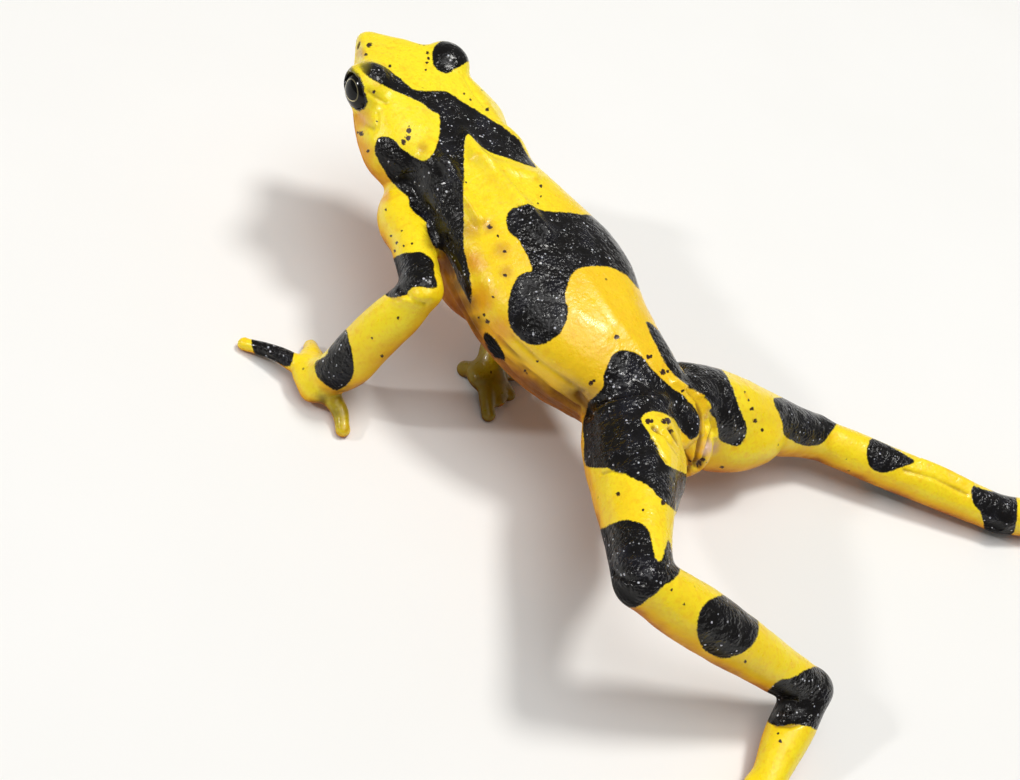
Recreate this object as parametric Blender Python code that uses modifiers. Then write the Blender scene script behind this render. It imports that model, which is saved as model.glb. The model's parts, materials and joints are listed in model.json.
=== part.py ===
"""Panamanian golden frog, life size, walking with the body raised on its limbs.

World frame: the frog faces -Y, its left side is +X and the floor is z = 0. Places are in
millimetres and are turned into metres by MM. The body is modelled whole, joined by a voxel
remesh, and then parted into its named nodes by thin cuts. The last step moves everything so
that the middle of its box is at x = 0, y = 0.
"""

import math

import bmesh
import bpy
from mathutils import Matrix, Vector
from mathutils.bvhtree import BVHTree

MM = 0.001

# Driving dimensions, in millimetres
SNOUT = Vector((0.0, -24.0, 16.8))
VENT = Vector((0.0, 24.3, 10.7))
GAP = 0.3
COARSE_VOXEL = 0.3
COARSE_EASE = 14
FINE_VOXEL = 0.2
FINE_EASE = 2

# Cross-sections of the head behind the snout tip, heights measured from the body axis:
# along, crown, canthus out, canthus up, cheek out, cheek up, lip out, lip up, jaw out, jaw up, chin
HEAD_SECTIONS = (
    (0.25, 0.85, 0.70, 0.68, 0.75, 0.25, 0.70, -0.15, 0.45, -0.50, -0.60),
    (0.6, 1.05, 1.00, 0.88, 1.00, 0.30, 0.98, -0.32, 0.70, -0.85, -1.00),
    (1.2, 1.30, 1.45, 1.10, 1.40, 0.35, 1.42, -0.45, 1.05, -1.20, -1.45),
    (3.0, 1.90, 2.60, 1.75, 2.50, 0.40, 2.80, -0.70, 2.50, -1.65, -2.20),
    (5.0, 2.45, 3.60, 2.35, 3.55, 0.50, 4.05, -0.90, 3.80, -1.95, -2.80),
    (7.2, 2.80, 4.15, 2.60, 4.95, 0.60, 5.45, -1.10, 5.10, -2.30, -3.35),
    (9.6, 2.95, 4.85, 2.55, 6.45, 0.65, 6.70, -1.25, 6.00, -2.70, -3.85),
    (12.2, 3.00, 4.90, 2.50, 7.25, 0.60, 7.40, -1.35, 6.45, -3.10, -4.30),
    (15.0, 3.15, 4.50, 2.50, 6.25, 0.50, 6.45, -1.50, 5.60, -3.40, -4.60),
)

# Cross-sections of the trunk: along, half width, top, bottom, sideways bend
TRUNK_SECTIONS = (
    (9.5, 4.0, 2.1, 3.1, 0.0),
    (13.0, 5.4, 2.9, 4.1, 0.0),
    (16.5, 5.6, 3.4, 4.8, 0.2),
    (20.0, 6.1, 3.7, 5.6, 0.6),
    (24.0, 7.0, 4.0, 6.1, 0.8),
    (28.0, 7.85, 4.2, 6.7, 1.0),
    (32.0, 7.75, 4.3, 6.9, 1.3),
    (36.0, 6.3, 4.2, 6.5, 1.8),
    (40.0, 5.0, 3.6, 5.5, 1.4),
    (43.5, 4.0, 2.7, 4.5, 0.7),
    (46.3, 2.8, 1.6, 3.2, 0.1),
    (47.8, 1.4, 0.8, 1.5, 0.0),
)

SNOUT_PLACE = (0.7, 0.0, 0.1)
SNOUT_RADII = (0.8, 0.9, 0.75)

# The eye: place on the body axis (along, out, up), ball radius and the opening of the lids
EYE_PLACE = (6.75, 4.6, 1.25)
EYE_RADIUS = 1.9
EYE_LENGTH = 1.55
EYE_HEIGHT = 1.15
EYE_DEPTH = 1.3
EYE_TILT = 14.0
GAZE = Vector((1.0, -0.12, 0.22))
LID_PLACE = (6.7, 4.4, 1.55)
LID_RADII = (2.25, 2.4, 2.1)
BROW_PLACE = (7.0, 3.3, 1.0)
BROW_RADII = (2.5, 3.5, 1.85)
CHEEK_PLACE = (7.4, 4.1, 0.1)
CHEEK_RADII = (1.7, 3.6, 1.35)
RIM_OUT = 0.28
RIM_RADIUS = 0.26
RIM_UP = 0.92
SCAPULA_PLACE = (16.6, 3.4, 1.3)
SCAPULA_RADII = (2.1, 3.4, 2.0)
SCAPULA_BEND = 0.2

# First and last place of the lofts along the axis, and how many rings
HEAD_SPAN = (0.25, 15.0, 34)
TRUNK_SPAN = (9.5, 47.8, 56)
TRUNK_POWERS = (0.88, 0.95)

# The line of the mouth: places along it, how far below the lip it runs, its corner and its front
MOUTH_STATIONS = (1.2, 2.2, 3.6, 5.2, 7.0, 8.8, 10.6, 12.0)
MOUTH_SHARE = 0.99
MOUTH_DROP = 0.28
MOUTH_FALL = 0.03
MOUTH_CORNER = Vector((0.0, 0.2, -0.5))
MOUTH_FRONT = (-0.1, 0.0, -0.50)
MOUTH_CUT = 0.21
NOSTRIL_PLACE = (1.35, 1.72, 0.72)
NOSTRIL_CUT = (0.30, 0.34, 0.24)
OUTSIDE = 4.0

# Places of the joints, in millimetres, and of the hands and feet
SHOULDER = Vector((6.0, -8.0, 11.8))
LEFT_ELBOW = Vector((12.0, 1.4, 13.3))
LEFT_WRIST = Vector((16.7, -0.5, 3.9))
LEFT_PALM = Vector((17.7, -2.3, 1.75))
RIGHT_ELBOW = Vector((-9.2, 0.4, 6.9))
RIGHT_WRIST = Vector((1.2, 3.2, 2.9))
RIGHT_PALM = Vector((3.3, 4.7, 1.45))
ARM_ROOT = (16.5, 3.0, -1.5)
THIGH_SHARES = (0.26, 0.62)
LOWER_SHARES = (0.3, 0.7)

# Where the arms leave the trunk: place, normal and radius of the cut
ARM_CUTS = (
    ((7.6, -5.0, 12.0), (1.0, 0.0, 0.0), 4.9),
    ((-7.3, -5.4, 10.5), (-0.6, 0.52, -0.6), 4.1),
)

NECK_PLACE = (14.3, 0.0, -0.5)
NECK_CUT = 10.0
ELBOW_CUT = 3.6
WRIST_CUT = 2.9
HIP_CUT = 6.2
KNEE_CUT = 4.0
HEEL_CUT = 3.6
SOLE_CUT = 2.6
WRIST_SHARE = 0.10
HIP_SHARE = 0.30
SOLE_SHARE = 0.45

LEFT_HIP = Vector((2.7, 18.2, 10.6))
LEFT_KNEE = Vector((15.6, 31.0, 13.5))
LEFT_HEEL = Vector((3.1, 43.4, 4.1))
LEFT_TARSUS = Vector((7.1, 45.0, 2.3))
LEFT_SOLE = Vector((11.2, 46.8, 1.25))
RIGHT_HIP = Vector((-3.2, 18.8, 9.1))
RIGHT_KNEE = Vector((-18.5, 26.4, 3.7))
RIGHT_HEEL = Vector((-30.6, 42.3, 2.2))
RIGHT_TARSUS = Vector((-34.3, 44.7, 1.8))
RIGHT_SOLE = Vector((-38.2, 46.6, 1.2))

# Radii along the limbs, from the root to the end
UPPER_ARM_RADII = (2.2, 2.25, 1.95, 1.75)
LEFT_FOREARM_RADII = (1.7, 2.05, 2.15, 2.05, 1.4)
RIGHT_FOREARM_RADII = (1.8, 2.05, 1.95, 1.65, 1.2)
THIGH_RADII = (3.8, 3.95, 3.05, 2.2)
LEFT_SHANK_RADII = (2.15, 2.5, 2.15, 1.85)
RIGHT_SHANK_RADII = (2.0, 2.1, 2.0, 1.85)
TARSUS_RADII = (1.85, 1.85, 1.2)

# Fuller places: place, radii and turn about the vertical
SWELLINGS = (
    ((5.0, -6.9, 11.2), (2.7, 3.3, 2.9), 50),
    ((5.05, 0.3, 10.35), (2.8, 5.0, 2.8), -13),
    ((-8.0, 22.9, 6.1), (5.8, 3.2, 3.2), -28),
    ((-1.2, 22.4, 8.3), (2.8, 2.5, 2.5), 0),
    ((-3.4, 19.8, 9.7), (3.2, 2.8, 3.1), -28),
    ((5.2, 23.0, 10.2), (5.0, 3.3, 3.4), 45),
    ((7.4, 24.6, 11.0), (4.0, 2.9, 3.0), 45),
    ((17.6, -2.1, 1.65), (2.0, 2.8, 1.3), -10),
    ((16.3, -4.3, 1.25), (1.2, 1.3, 0.95), 0),
    ((18.5, -1.3, 1.15), (1.15, 1.1, 1.05), 0),
    ((3.5, 4.9, 1.4), (1.9, 2.1, 1.15), 20),
    ((3.9, 6.9, 0.85), (1.3, 1.2, 0.6), 0),
)
KNEE_RADIUS = 2.2
ELBOW_RADIUS = 1.75
HEEL_RADII = (1.95, 1.95, 1.9)
SOLE_RADII = (2.5, 1.9, 1.0)

# Digits: root, knuckle, tip, then the radius at the root and at the tip
LEFT_FINGERS = (
    ((16.8, -2.4, 1.4), (15.9, -3.0, 1.1), (15.1, -3.7, 0.52), 0.75, 0.60),
    ((17.0, -3.3, 1.6), (16.1, -4.6, 1.4), (15.2, -5.8, 0.52), 0.90, 0.62),
    ((18.0, -3.6, 1.6), (18.9, -6.1, 1.35), (20.2, -8.7, 0.52), 0.85, 0.58),
    ((17.6, -0.8, 1.4), (17.5, 1.3, 1.05), (18.2, 3.0, 0.52), 0.90, 0.62),
)
RIGHT_FINGERS = (
    ((3.7, 3.9, 1.3), (4.0, 3.3, 1.05), (4.1, 2.8, 0.62), 0.85, 0.75),
    ((3.9, 5.3, 1.4), (4.9, 6.6, 1.1), (5.6, 7.9, 0.52), 0.85, 0.62),
    ((2.9, 5.4, 1.4), (2.6, 6.3, 1.05), (2.3, 7.0, 0.54), 0.85, 0.64),
    ((2.2, 4.9, 1.3), (0.6, 5.6, 1.0), (-1.0, 6.0, 0.52), 0.75, 0.60),
)
TOE_LENGTHS = (2.9, 4.6, 6.6, 9.0, 6.2)
TOE_TURNS = (52, 30, 10, -10, -32)
TOE_RADIUS = 0.62
TOE_SPACING = 0.62
TOE_START = 0.6
TOE_HEIGHTS = (1.1, 0.95, 0.5)
TOE_TAPER = (1.15, 0.92)
TIP_SHARE = 1.08
WEB_UP = 0.62
WEB_RADII = (1.7, 1.1, 0.36)

# Triangles kept in each node
BUDGET = {"head": 3400, "torso": 2300, "upper_arm": 360, "forearm": 400, "hand": 900,
          "thigh": 600, "shank": 500, "tarsus": 320, "foot": 1000, "eye": 400}
THINNING_TRIES = 16
THINNING_STEP = 0.012


def axis_frame():
    """Unit vectors backward along the body axis and up from it."""
    back = (VENT - SNOUT).normalized()
    up = Vector((1, 0, 0)).cross(back)
    return back, up


def on_body(along, out, height):
    """World place, in millimetres, this far behind the snout, to the left and above the axis."""
    back, up = axis_frame()
    return SNOUT + back * along + up * height + Vector((out, 0, 0))


def between(rows, value):
    """Row of numbers read from a smooth curve through rows, whose first column is value."""
    k = max(i for i in range(len(rows) - 1) if rows[i][0] <= value or i == 0)
    p1, p2 = rows[k], rows[k + 1]
    p0 = rows[max(k - 1, 0)]
    p3 = rows[min(k + 2, len(rows) - 1)]
    f = (value - p1[0]) / (p2[0] - p1[0])
    return [catmull(a, b, c, d, f) for a, b, c, d in zip(p0, p1, p2, p3)]


def catmull(a, b, c, d, f):
    return 0.5 * ((2 * b) + (c - a) * f + (2 * a - 5 * b + 4 * c - d) * f * f
                  + (3 * b - a - 3 * c + d) * f ** 3)


def smooth_closed(points, count):
    """A closed curve of count points through the given ones."""
    made = []
    n = len(points)
    for i in range(count):
        t = i * n / count
        k = int(t)
        made.append(catmull(*(points[(k + j) % n] for j in (-1, 0, 1, 2)), t - k))
    return made


def spread(first, last, count):
    return [first + (last - first) * i / (count - 1) for i in range(count)]


def mesh_object(name, bm, collection):
    mesh = bpy.data.meshes.new(name)
    bm.to_mesh(mesh)
    bm.free()
    obj = bpy.data.objects.new(name, mesh)
    collection.objects.link(obj)
    return obj


def loft(name, rings, collection):
    """A closed body through rings of equal length, with a fan at each end."""
    bm = bmesh.new()
    rows = [[bm.verts.new(p * MM) for p in ring] for ring in rings]
    for row, after in zip(rows, rows[1:]):
        for i in range(len(row)):
            j = (i + 1) % len(row)
            bm.faces.new((row[i], row[j], after[j], after[i]))
    for row in (rows[0], rows[-1]):
        middle = bm.verts.new(sum((v.co for v in row), Vector()) / len(row))
        for i in range(len(row)):
            bm.faces.new((row[i], middle, row[(i + 1) % len(row)]))
    bmesh.ops.recalc_face_normals(bm, faces=bm.faces)
    return mesh_object(name, bm, collection)


def head_ring(along, count=48):
    _, crown, cw, cz, kw, kz, lw, lz, jw, jz, chin = between(HEAD_SECTIONS, along)
    half = [(0.0, crown), (cw * 0.55, crown * 0.6 + cz * 0.4 + 0.12), (cw, cz), (kw, kz),
            (lw, lz), (jw, jz), (jw * 0.55, chin * 0.85), (0.0, chin)]
    left = [on_body(along, x, z) for x, z in half]
    right = [on_body(along, -x, z) for x, z in half[-2:0:-1]]
    return smooth_closed(left + right, count)


def trunk_ring(along, count=48):
    _, half_width, top, bottom, bend = between(TRUNK_SECTIONS, along)
    ring = []
    for i in range(count):
        angle = 2 * math.pi * i / count
        c, s = math.cos(angle), math.sin(angle)
        power = TRUNK_POWERS[0] if s > 0 else TRUNK_POWERS[1]
        out = half_width * math.copysign(abs(c) ** power, c)
        rise = (top if s > 0 else bottom) * math.copysign(abs(s) ** power, s)
        ring.append(on_body(along, out + bend, rise))
    return ring


def limb(name, stations, collection):
    """A tapered round limb: a curve through the stations, each a place and a radius."""
    curve = bpy.data.curves.new(name, "CURVE")
    curve.dimensions = "3D"
    curve.bevel_depth = 1.0 * MM
    curve.bevel_resolution = 4
    curve.resolution_u = 8
    curve.use_fill_caps = True
    spline = curve.splines.new("BEZIER")
    spline.radius_interpolation = "CARDINAL"
    spline.bezier_points.add(len(stations) - 1)
    for point, (place, radius) in zip(spline.bezier_points, stations):
        point.co = Vector(place) * MM
        point.radius = radius
        point.handle_left_type = "AUTO"
        point.handle_right_type = "AUTO"
    obj = bpy.data.objects.new(name, curve)
    collection.objects.link(obj)
    return obj


def ball(name, place, radii, collection, turn=(0, 0, 0)):
    """An ellipsoid at a place, with a radius along each of its own axes."""
    bm = bmesh.new()
    size = Matrix.Diagonal(Vector(radii) * MM).to_4x4()
    bmesh.ops.create_uvsphere(bm, u_segments=32, v_segments=16, radius=1.0, matrix=size)
    obj = mesh_object(name, bm, collection)
    obj.rotation_euler = [math.radians(a) for a in turn]
    obj.location = Vector(place) * MM
    return obj


def head_and_trunk(parts):
    loft("head", [head_ring(s) for s in spread(*HEAD_SPAN)], parts)
    loft("trunk", [trunk_ring(s) for s in spread(*TRUNK_SPAN)], parts)
    ball("snout", on_body(*SNOUT_PLACE), SNOUT_RADII, parts)
    for side in (1, -1):
        for place, radii in ((LID_PLACE, LID_RADII), (BROW_PLACE, BROW_RADII), (CHEEK_PLACE, CHEEK_RADII)):
            along, out, up = place
            ball("face", on_body(along, out * side, up), radii, parts)
        along, out, up = SCAPULA_PLACE
        ball("scapula", on_body(along, out * side + SCAPULA_BEND, up), SCAPULA_RADII, parts)


def arm(side, places, girths, parts):
    """An arm down to the palm: places of shoulder, elbow, wrist and palm."""
    shoulder, elbow, wrist, palm = places
    root_along, root_out, root_up = ARM_ROOT
    root = on_body(root_along, root_out * side, root_up)
    upper = (root, shoulder, shoulder.lerp(elbow, 0.5), elbow)
    limb("upper_arm", list(zip(upper, UPPER_ARM_RADII)), parts)
    ball("elbow", elbow, (ELBOW_RADIUS,) * 3, parts)
    lower = (elbow, *(elbow.lerp(wrist, share) for share in LOWER_SHARES), wrist, palm)
    limb("forearm", list(zip(lower, girths)), parts)


def leg(places, shank_girths, parts):
    hip, knee, heel, tarsus, sole = places
    thigh = (hip, *(hip.lerp(knee, share) for share in THIGH_SHARES), knee)
    limb("thigh", list(zip(thigh, THIGH_RADII)), parts)
    ball("knee", knee, (KNEE_RADIUS,) * 3, parts)
    shank = (knee, *(knee.lerp(heel, share) for share in LOWER_SHARES), heel)
    limb("shank", list(zip(shank, shank_girths)), parts)
    ball("heel", heel, HEEL_RADII, parts)
    limb("tarsus", list(zip((heel, tarsus, sole), TARSUS_RADII)), parts)
    turn = math.degrees(math.atan2(sole.y - tarsus.y, sole.x - tarsus.x))
    ball("sole", sole, SOLE_RADII, parts, (0, 0, turn))


def lid_rim(side, parts):
    """The thick edge of the lids, a ring round the opening of the eye."""
    along, out, up = EYE_PLACE
    centre = on_body(along, out * side, up)
    turn = eye_axes(side)
    length = EYE_LENGTH + RIM_OUT
    height = EYE_HEIGHT + RIM_OUT
    ring = []
    for angle in spread(0, 2 * math.pi, 25)[:-1]:
        across = Vector((math.cos(angle) * length, math.sin(angle) * height, RIM_UP))
        ring.append((centre + turn @ across, RIM_RADIUS))
    limb("rim", ring, parts).data.splines[0].use_cyclic_u = True


def webs(tarsus, sole, inner, parts):
    """The thin web between the roots of the toes."""
    rows = toes(tarsus, sole, inner)
    for before, after in zip(rows, rows[1:]):
        middle = (before[0] + before[1] + after[0] + after[1]) / 4
        way = (before[1] + after[1] - before[0] - after[0]) / 2
        turn = math.degrees(math.atan2(way.y, way.x))
        ball("web", (middle.x, middle.y, WEB_UP), WEB_RADII, parts, (0, 0, turn))


def body_parts(parts):
    """Everything but the digits, as overlapping closed pieces."""
    head_and_trunk(parts)
    right_shoulder = Vector((-SHOULDER.x, SHOULDER.y, SHOULDER.z))
    arm(1, (SHOULDER, LEFT_ELBOW, LEFT_WRIST, LEFT_PALM), LEFT_FOREARM_RADII, parts)
    arm(-1, (right_shoulder, RIGHT_ELBOW, RIGHT_WRIST, RIGHT_PALM), RIGHT_FOREARM_RADII, parts)
    leg((LEFT_HIP, LEFT_KNEE, LEFT_HEEL, LEFT_TARSUS, LEFT_SOLE), LEFT_SHANK_RADII, parts)
    leg((RIGHT_HIP, RIGHT_KNEE, RIGHT_HEEL, RIGHT_TARSUS, RIGHT_SOLE), RIGHT_SHANK_RADII, parts)
    for place, radii, turn in SWELLINGS:
        ball("swelling", place, radii, parts, (0, 0, turn))


def toes(tarsus, sole, inner):
    """Toes fanned from the sole, the inner one first: root, knuckle, tip and radii."""
    forward = sole - tarsus
    forward.z = 0
    forward.normalize()
    made = []
    for number, (length, turn) in enumerate(zip(TOE_LENGTHS, TOE_TURNS)):
        way = Matrix.Rotation(math.radians(turn * inner), 3, "Z") @ forward
        side = Vector((forward.y, -forward.x, 0)) * (TOE_SPACING * (number - 2) * inner)
        root = sole + side + forward * TOE_START
        knuckle = root + way * length * 0.5
        tip = root + way * length
        root.z, knuckle.z, tip.z = TOE_HEIGHTS
        made.append((root, knuckle, tip, TOE_RADIUS * TOE_TAPER[0], TOE_RADIUS * TOE_TAPER[1]))
    return made


def digits(parts):
    for side in (1, -1):
        lid_rim(side, parts)
    webs(LEFT_TARSUS, LEFT_SOLE, 1, parts)
    webs(RIGHT_TARSUS, RIGHT_SOLE, -1, parts)
    rows = list(LEFT_FINGERS) + list(RIGHT_FINGERS)
    rows += toes(LEFT_TARSUS, LEFT_SOLE, 1) + toes(RIGHT_TARSUS, RIGHT_SOLE, -1)
    for root, knuckle, tip, thick, thin in rows:
        limb("digit", [(root, thick), (knuckle, (thick + thin) / 2), (tip, thin)], parts)
        ball("digit_tip", tip, (thin * TIP_SHARE,) * 3, parts)


def as_mesh(obj):
    """The evaluated mesh of an object, in world space. The caps of a curve are joined to its sides."""
    bpy.context.view_layer.update()
    graph = bpy.context.evaluated_depsgraph_get()
    mesh = bpy.data.meshes.new_from_object(obj.evaluated_get(graph), depsgraph=graph)
    mesh.transform(obj.matrix_world)
    if obj.type == "CURVE":
        bm = bmesh.new()
        bm.from_mesh(mesh)
        bmesh.ops.remove_doubles(bm, verts=bm.verts, dist=0.002 * MM)
        bm.to_mesh(mesh)
        bm.free()
    return mesh


def joined(name, objects, collection):
    """One object that holds the meshes of several, which are then removed."""
    bm = bmesh.new()
    for obj in objects:
        bm.from_mesh(as_mesh(obj))
        bpy.data.objects.remove(obj)
    return mesh_object(name, bm, collection)


def settle(obj):
    """Applies the modifiers of an object."""
    mesh = as_mesh(obj)
    obj.modifiers.clear()
    obj.matrix_world = Matrix.Identity(4)
    obj.data = mesh
    return obj


def fused(obj, voxel, smoothing):
    """Overlapping pieces made one skin, with the joins eased."""
    remesh = obj.modifiers.new("fuse", "REMESH")
    remesh.mode = "VOXEL"
    remesh.voxel_size = voxel * MM
    ease = obj.modifiers.new("ease", "SMOOTH")
    ease.factor = 0.5
    ease.iterations = smoothing
    return settle(obj)


def cut(obj, cutter, solver="MANIFOLD", operation="DIFFERENCE"):
    boolean = obj.modifiers.new("cut", "BOOLEAN")
    boolean.operation = operation
    boolean.solver = solver
    boolean.object = cutter
    settle(obj)
    bpy.data.objects.remove(cutter)
    return obj


def mouth_curve(skin_tree):
    """Places along the line of the mouth, laid on the skin."""
    left = []
    for along in MOUTH_STATIONS:
        row = between(HEAD_SECTIONS, along)
        left.append(on_body(along, row[6] * MOUTH_SHARE, row[7] - MOUTH_DROP - MOUTH_FALL * along))
    left[-1] += MOUTH_CORNER
    front = on_body(*MOUTH_FRONT)
    right = [Vector((-p.x, p.y, p.z)) for p in left]
    line = right[::-1] + [front] + left
    return [skin_tree.find_nearest(p * MM)[0] / MM for p in line]


def nostril_places():
    along, out, up = NOSTRIL_PLACE
    return [on_body(along, out * side, up) for side in (1, -1)]


def eye_axes(side):
    """Rotation whose z is the gaze and whose x runs backward along the opening."""
    gaze = Vector((GAZE.x * side, GAZE.y, GAZE.z)).normalized()
    back, up = axis_frame()
    tilted = back * math.cos(math.radians(EYE_TILT)) - up * math.sin(math.radians(EYE_TILT))
    length = (tilted - gaze * tilted.dot(gaze)).normalized()
    height = gaze.cross(length)
    return Matrix((length, height, gaze)).transposed()


def eye_prism(name, side, margin, deep, far, collection):
    """An oval post along the gaze, from deep inside the head to far outside it."""
    along, out, up = EYE_PLACE
    centre = on_body(along, out * side, up)
    bm = bmesh.new()
    bmesh.ops.create_cone(bm, cap_ends=True, segments=40, radius1=1.0, radius2=1.0, depth=1.0)
    size = Matrix.Diagonal(Vector((EYE_LENGTH + margin, EYE_HEIGHT + margin, far + deep)))
    turn = eye_axes(side)
    middle = centre + turn @ Vector((0, 0, (far - deep) / 2))
    for vert in bm.verts:
        vert.co = (turn @ (size @ vert.co) + middle) * MM
    return mesh_object(name, bm, collection)


def eye(name, side, collection):
    """The seen part of an eye: a ball's cap on an oval post."""
    along, out, up = EYE_PLACE
    bm = bmesh.new()
    bmesh.ops.create_icosphere(bm, subdivisions=4, radius=EYE_RADIUS * MM)
    obj = mesh_object(name, bm, collection)
    obj.location = on_body(along, out * side, up) * MM
    settle(obj)
    post = eye_prism("post", side, 0.0, EYE_DEPTH, OUTSIDE, collection)
    return cut(obj, post, operation="INTERSECT")


def disc(place, normal, radius, collection):
    """A thin round cutter across a limb."""
    bm = bmesh.new()
    bmesh.ops.create_cone(bm, cap_ends=True, segments=48, radius1=radius * MM,
                          radius2=radius * MM, depth=GAP * MM)
    obj = mesh_object("disc", bm, collection)
    obj.rotation_euler = Vector(normal).to_track_quat("Z", "Y").to_euler()
    obj.location = Vector(place) * MM
    return obj


def joint_discs(_body, collection):
    """The cutters that part the body into its nodes."""
    def across(before, joint, after):
        return (joint - before).normalized() + (after - joint).normalized()

    back, _ = axis_frame()
    disc(on_body(*NECK_PLACE), back, NECK_CUT, collection)
    for place, normal, radius in ARM_CUTS:
        disc(place, normal, radius, collection)
    right_shoulder = Vector((-SHOULDER.x, SHOULDER.y, SHOULDER.z))
    for shoulder, elbow, wrist, palm in (
            (SHOULDER, LEFT_ELBOW, LEFT_WRIST, LEFT_PALM),
            (right_shoulder, RIGHT_ELBOW, RIGHT_WRIST, RIGHT_PALM)):
        disc(elbow, across(shoulder, elbow, wrist), ELBOW_CUT, collection)
        disc(wrist.lerp(palm, WRIST_SHARE), across(elbow, wrist, palm), WRIST_CUT, collection)
    for hip, knee, heel, tarsus, sole in (
            (LEFT_HIP, LEFT_KNEE, LEFT_HEEL, LEFT_TARSUS, LEFT_SOLE),
            (RIGHT_HIP, RIGHT_KNEE, RIGHT_HEEL, RIGHT_TARSUS, RIGHT_SOLE)):
        disc(hip.lerp(knee, HIP_SHARE), knee - hip, HIP_CUT, collection)
        disc(knee, across(hip, knee, heel), KNEE_CUT, collection)
        disc(heel, across(knee, heel, tarsus), HEEL_CUT, collection)
        disc(tarsus.lerp(sole, SOLE_SHARE), sole - tarsus, SOLE_CUT, collection)


def seeds():
    """A place inside each node, to name the pieces after the cuts."""
    made = {"head": on_body(8.0, 0, 0), "torso": on_body(28.0, 1.0, 0)}
    right_shoulder = Vector((-SHOULDER.x, SHOULDER.y, SHOULDER.z))
    for side, shoulder, elbow, wrist, palm in (
            ("left", SHOULDER, LEFT_ELBOW, LEFT_WRIST, LEFT_PALM),
            ("right", right_shoulder, RIGHT_ELBOW, RIGHT_WRIST, RIGHT_PALM)):
        made[side + "_upper_arm"] = shoulder.lerp(elbow, 0.6)
        made[side + "_forearm"] = elbow.lerp(wrist, 0.5)
        made[side + "_hand"] = palm
    for side, hip, knee, heel, tarsus, sole in (
            ("left", LEFT_HIP, LEFT_KNEE, LEFT_HEEL, LEFT_TARSUS, LEFT_SOLE),
            ("right", RIGHT_HIP, RIGHT_KNEE, RIGHT_HEEL, RIGHT_TARSUS, RIGHT_SOLE)):
        made[side + "_thigh"] = hip.lerp(knee, 0.65)
        made[side + "_shank"] = knee.lerp(heel, 0.5)
        made[side + "_tarsus"] = heel.lerp(tarsus, 0.7)
        made[side + "_foot"] = sole
    return made


def face_cutters(body, collection):
    """Cutters for the line of the mouth, the nostrils and the openings of the lids."""
    tree = BVHTree.FromPolygons([v.co for v in body.data.vertices],
                                [p.vertices for p in body.data.polygons])
    line = mouth_curve(tree)
    limb("mouth", [(p, MOUTH_CUT) for p in line], collection)
    for place in nostril_places():
        seat = tree.find_nearest(place * MM)[0] / MM
        ball("nostril", seat, NOSTRIL_CUT, collection)
    for side in (1, -1):
        eye_prism("opening", side, GAP, EYE_DEPTH + GAP, OUTSIDE, collection)


def floor_box(_body, collection):
    bm = bmesh.new()
    bmesh.ops.create_cube(bm, size=0.3)
    obj = mesh_object("floor", bm, collection)
    obj.location = (0, 0, -0.15)
    return obj


def islands(obj):
    """The vertices of each loose piece of a mesh, as sets of numbers."""
    bm = bmesh.new()
    bm.from_mesh(obj.data)
    bm.verts.ensure_lookup_table()
    left = set(range(len(bm.verts)))
    found = []
    while left:
        start = left.pop()
        piece = {start}
        edge = [start]
        while edge:
            vert = bm.verts[edge.pop()]
            for link in vert.link_edges:
                other = link.other_vert(vert).index
                if other in left:
                    left.remove(other)
                    piece.add(other)
                    edge.append(other)
        found.append(piece)
    bm.free()
    return found


def piece_object(obj, keep, name, collection):
    bm = bmesh.new()
    bm.from_mesh(obj.data)
    bm.verts.ensure_lookup_table()
    bmesh.ops.delete(bm, geom=[v for v in bm.verts if v.index not in keep], context="VERTS")
    return mesh_object(name, bm, collection)


def holds(obj, place):
    """Whether the place, in millimetres, is inside the closed mesh."""
    tree = BVHTree.FromPolygons([v.co for v in obj.data.vertices],
                                [p.vertices for p in obj.data.polygons])
    start = place * MM
    way = Vector((0.31, 0.17, 0.93)).normalized()
    hits = 0
    while hits < 50:
        point = tree.ray_cast(start, way)[0]
        if point is None:
            break
        hits += 1
        start = point + way * 0.001 * MM
    return hits % 2 == 1


def parted(body, collection):
    """One object for each node, taken from the cut body: the large piece that holds its seed."""
    places = seeds()
    pieces = sorted(islands(body), key=len, reverse=True)[:len(places)]
    nodes = {}
    for keep in pieces:
        obj = piece_object(body, keep, "piece", collection)
        inside = [name for name, place in places.items() if name not in nodes and holds(obj, place)]
        if inside:
            obj.name = inside[0]
            nodes[inside[0]] = obj
    bpy.data.objects.remove(body)
    return nodes


def is_closed(mesh):
    bm = bmesh.new()
    bm.from_mesh(mesh)
    fine = all(e.is_manifold and e.is_contiguous for e in bm.edges) and all(v.is_manifold for v in bm.verts)
    bm.free()
    return fine


def fanned(mesh):
    """Splits each many-sided cut face from its middle, so that thinning keeps the surface closed."""
    bm = bmesh.new()
    bm.from_mesh(mesh)
    bmesh.ops.poke(bm, faces=[f for f in bm.faces if len(f.verts) > 4], center_mode="MEAN_WEIGHTED")
    bm.to_mesh(mesh)
    bm.free()


def thinned(obj, triangles):
    """The object with about this many triangles: the first count near it that leaves a closed surface."""
    fanned(obj.data)
    whole = obj.data
    count = sum(len(p.vertices) - 2 for p in whole.polygons)
    for attempt in range(THINNING_TRIES):
        obj.data = whole.copy()
        thin = obj.modifiers.new("thin", "DECIMATE")
        thin.ratio = min(1.0, triangles * (1 + THINNING_STEP * attempt) / count)
        settle(obj)
        if is_closed(obj.data):
            return obj
    print("not closed:", obj.name)
    return obj


def budget(name):
    return next(count for word, count in BUDGET.items() if name.endswith(word) or name.startswith(word))


def centred(objects):
    """Moves the meshes so that their common box is centred on x = 0, y = 0."""
    points = [v.co for obj in objects for v in obj.data.vertices]
    x = (min(p.x for p in points) + max(p.x for p in points)) / 2
    y = (min(p.y for p in points) + max(p.y for p in points)) / 2
    for obj in objects:
        obj.data.transform(Matrix.Translation((-x, -y, 0)))
    return Vector((-x, -y, 0))


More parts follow.
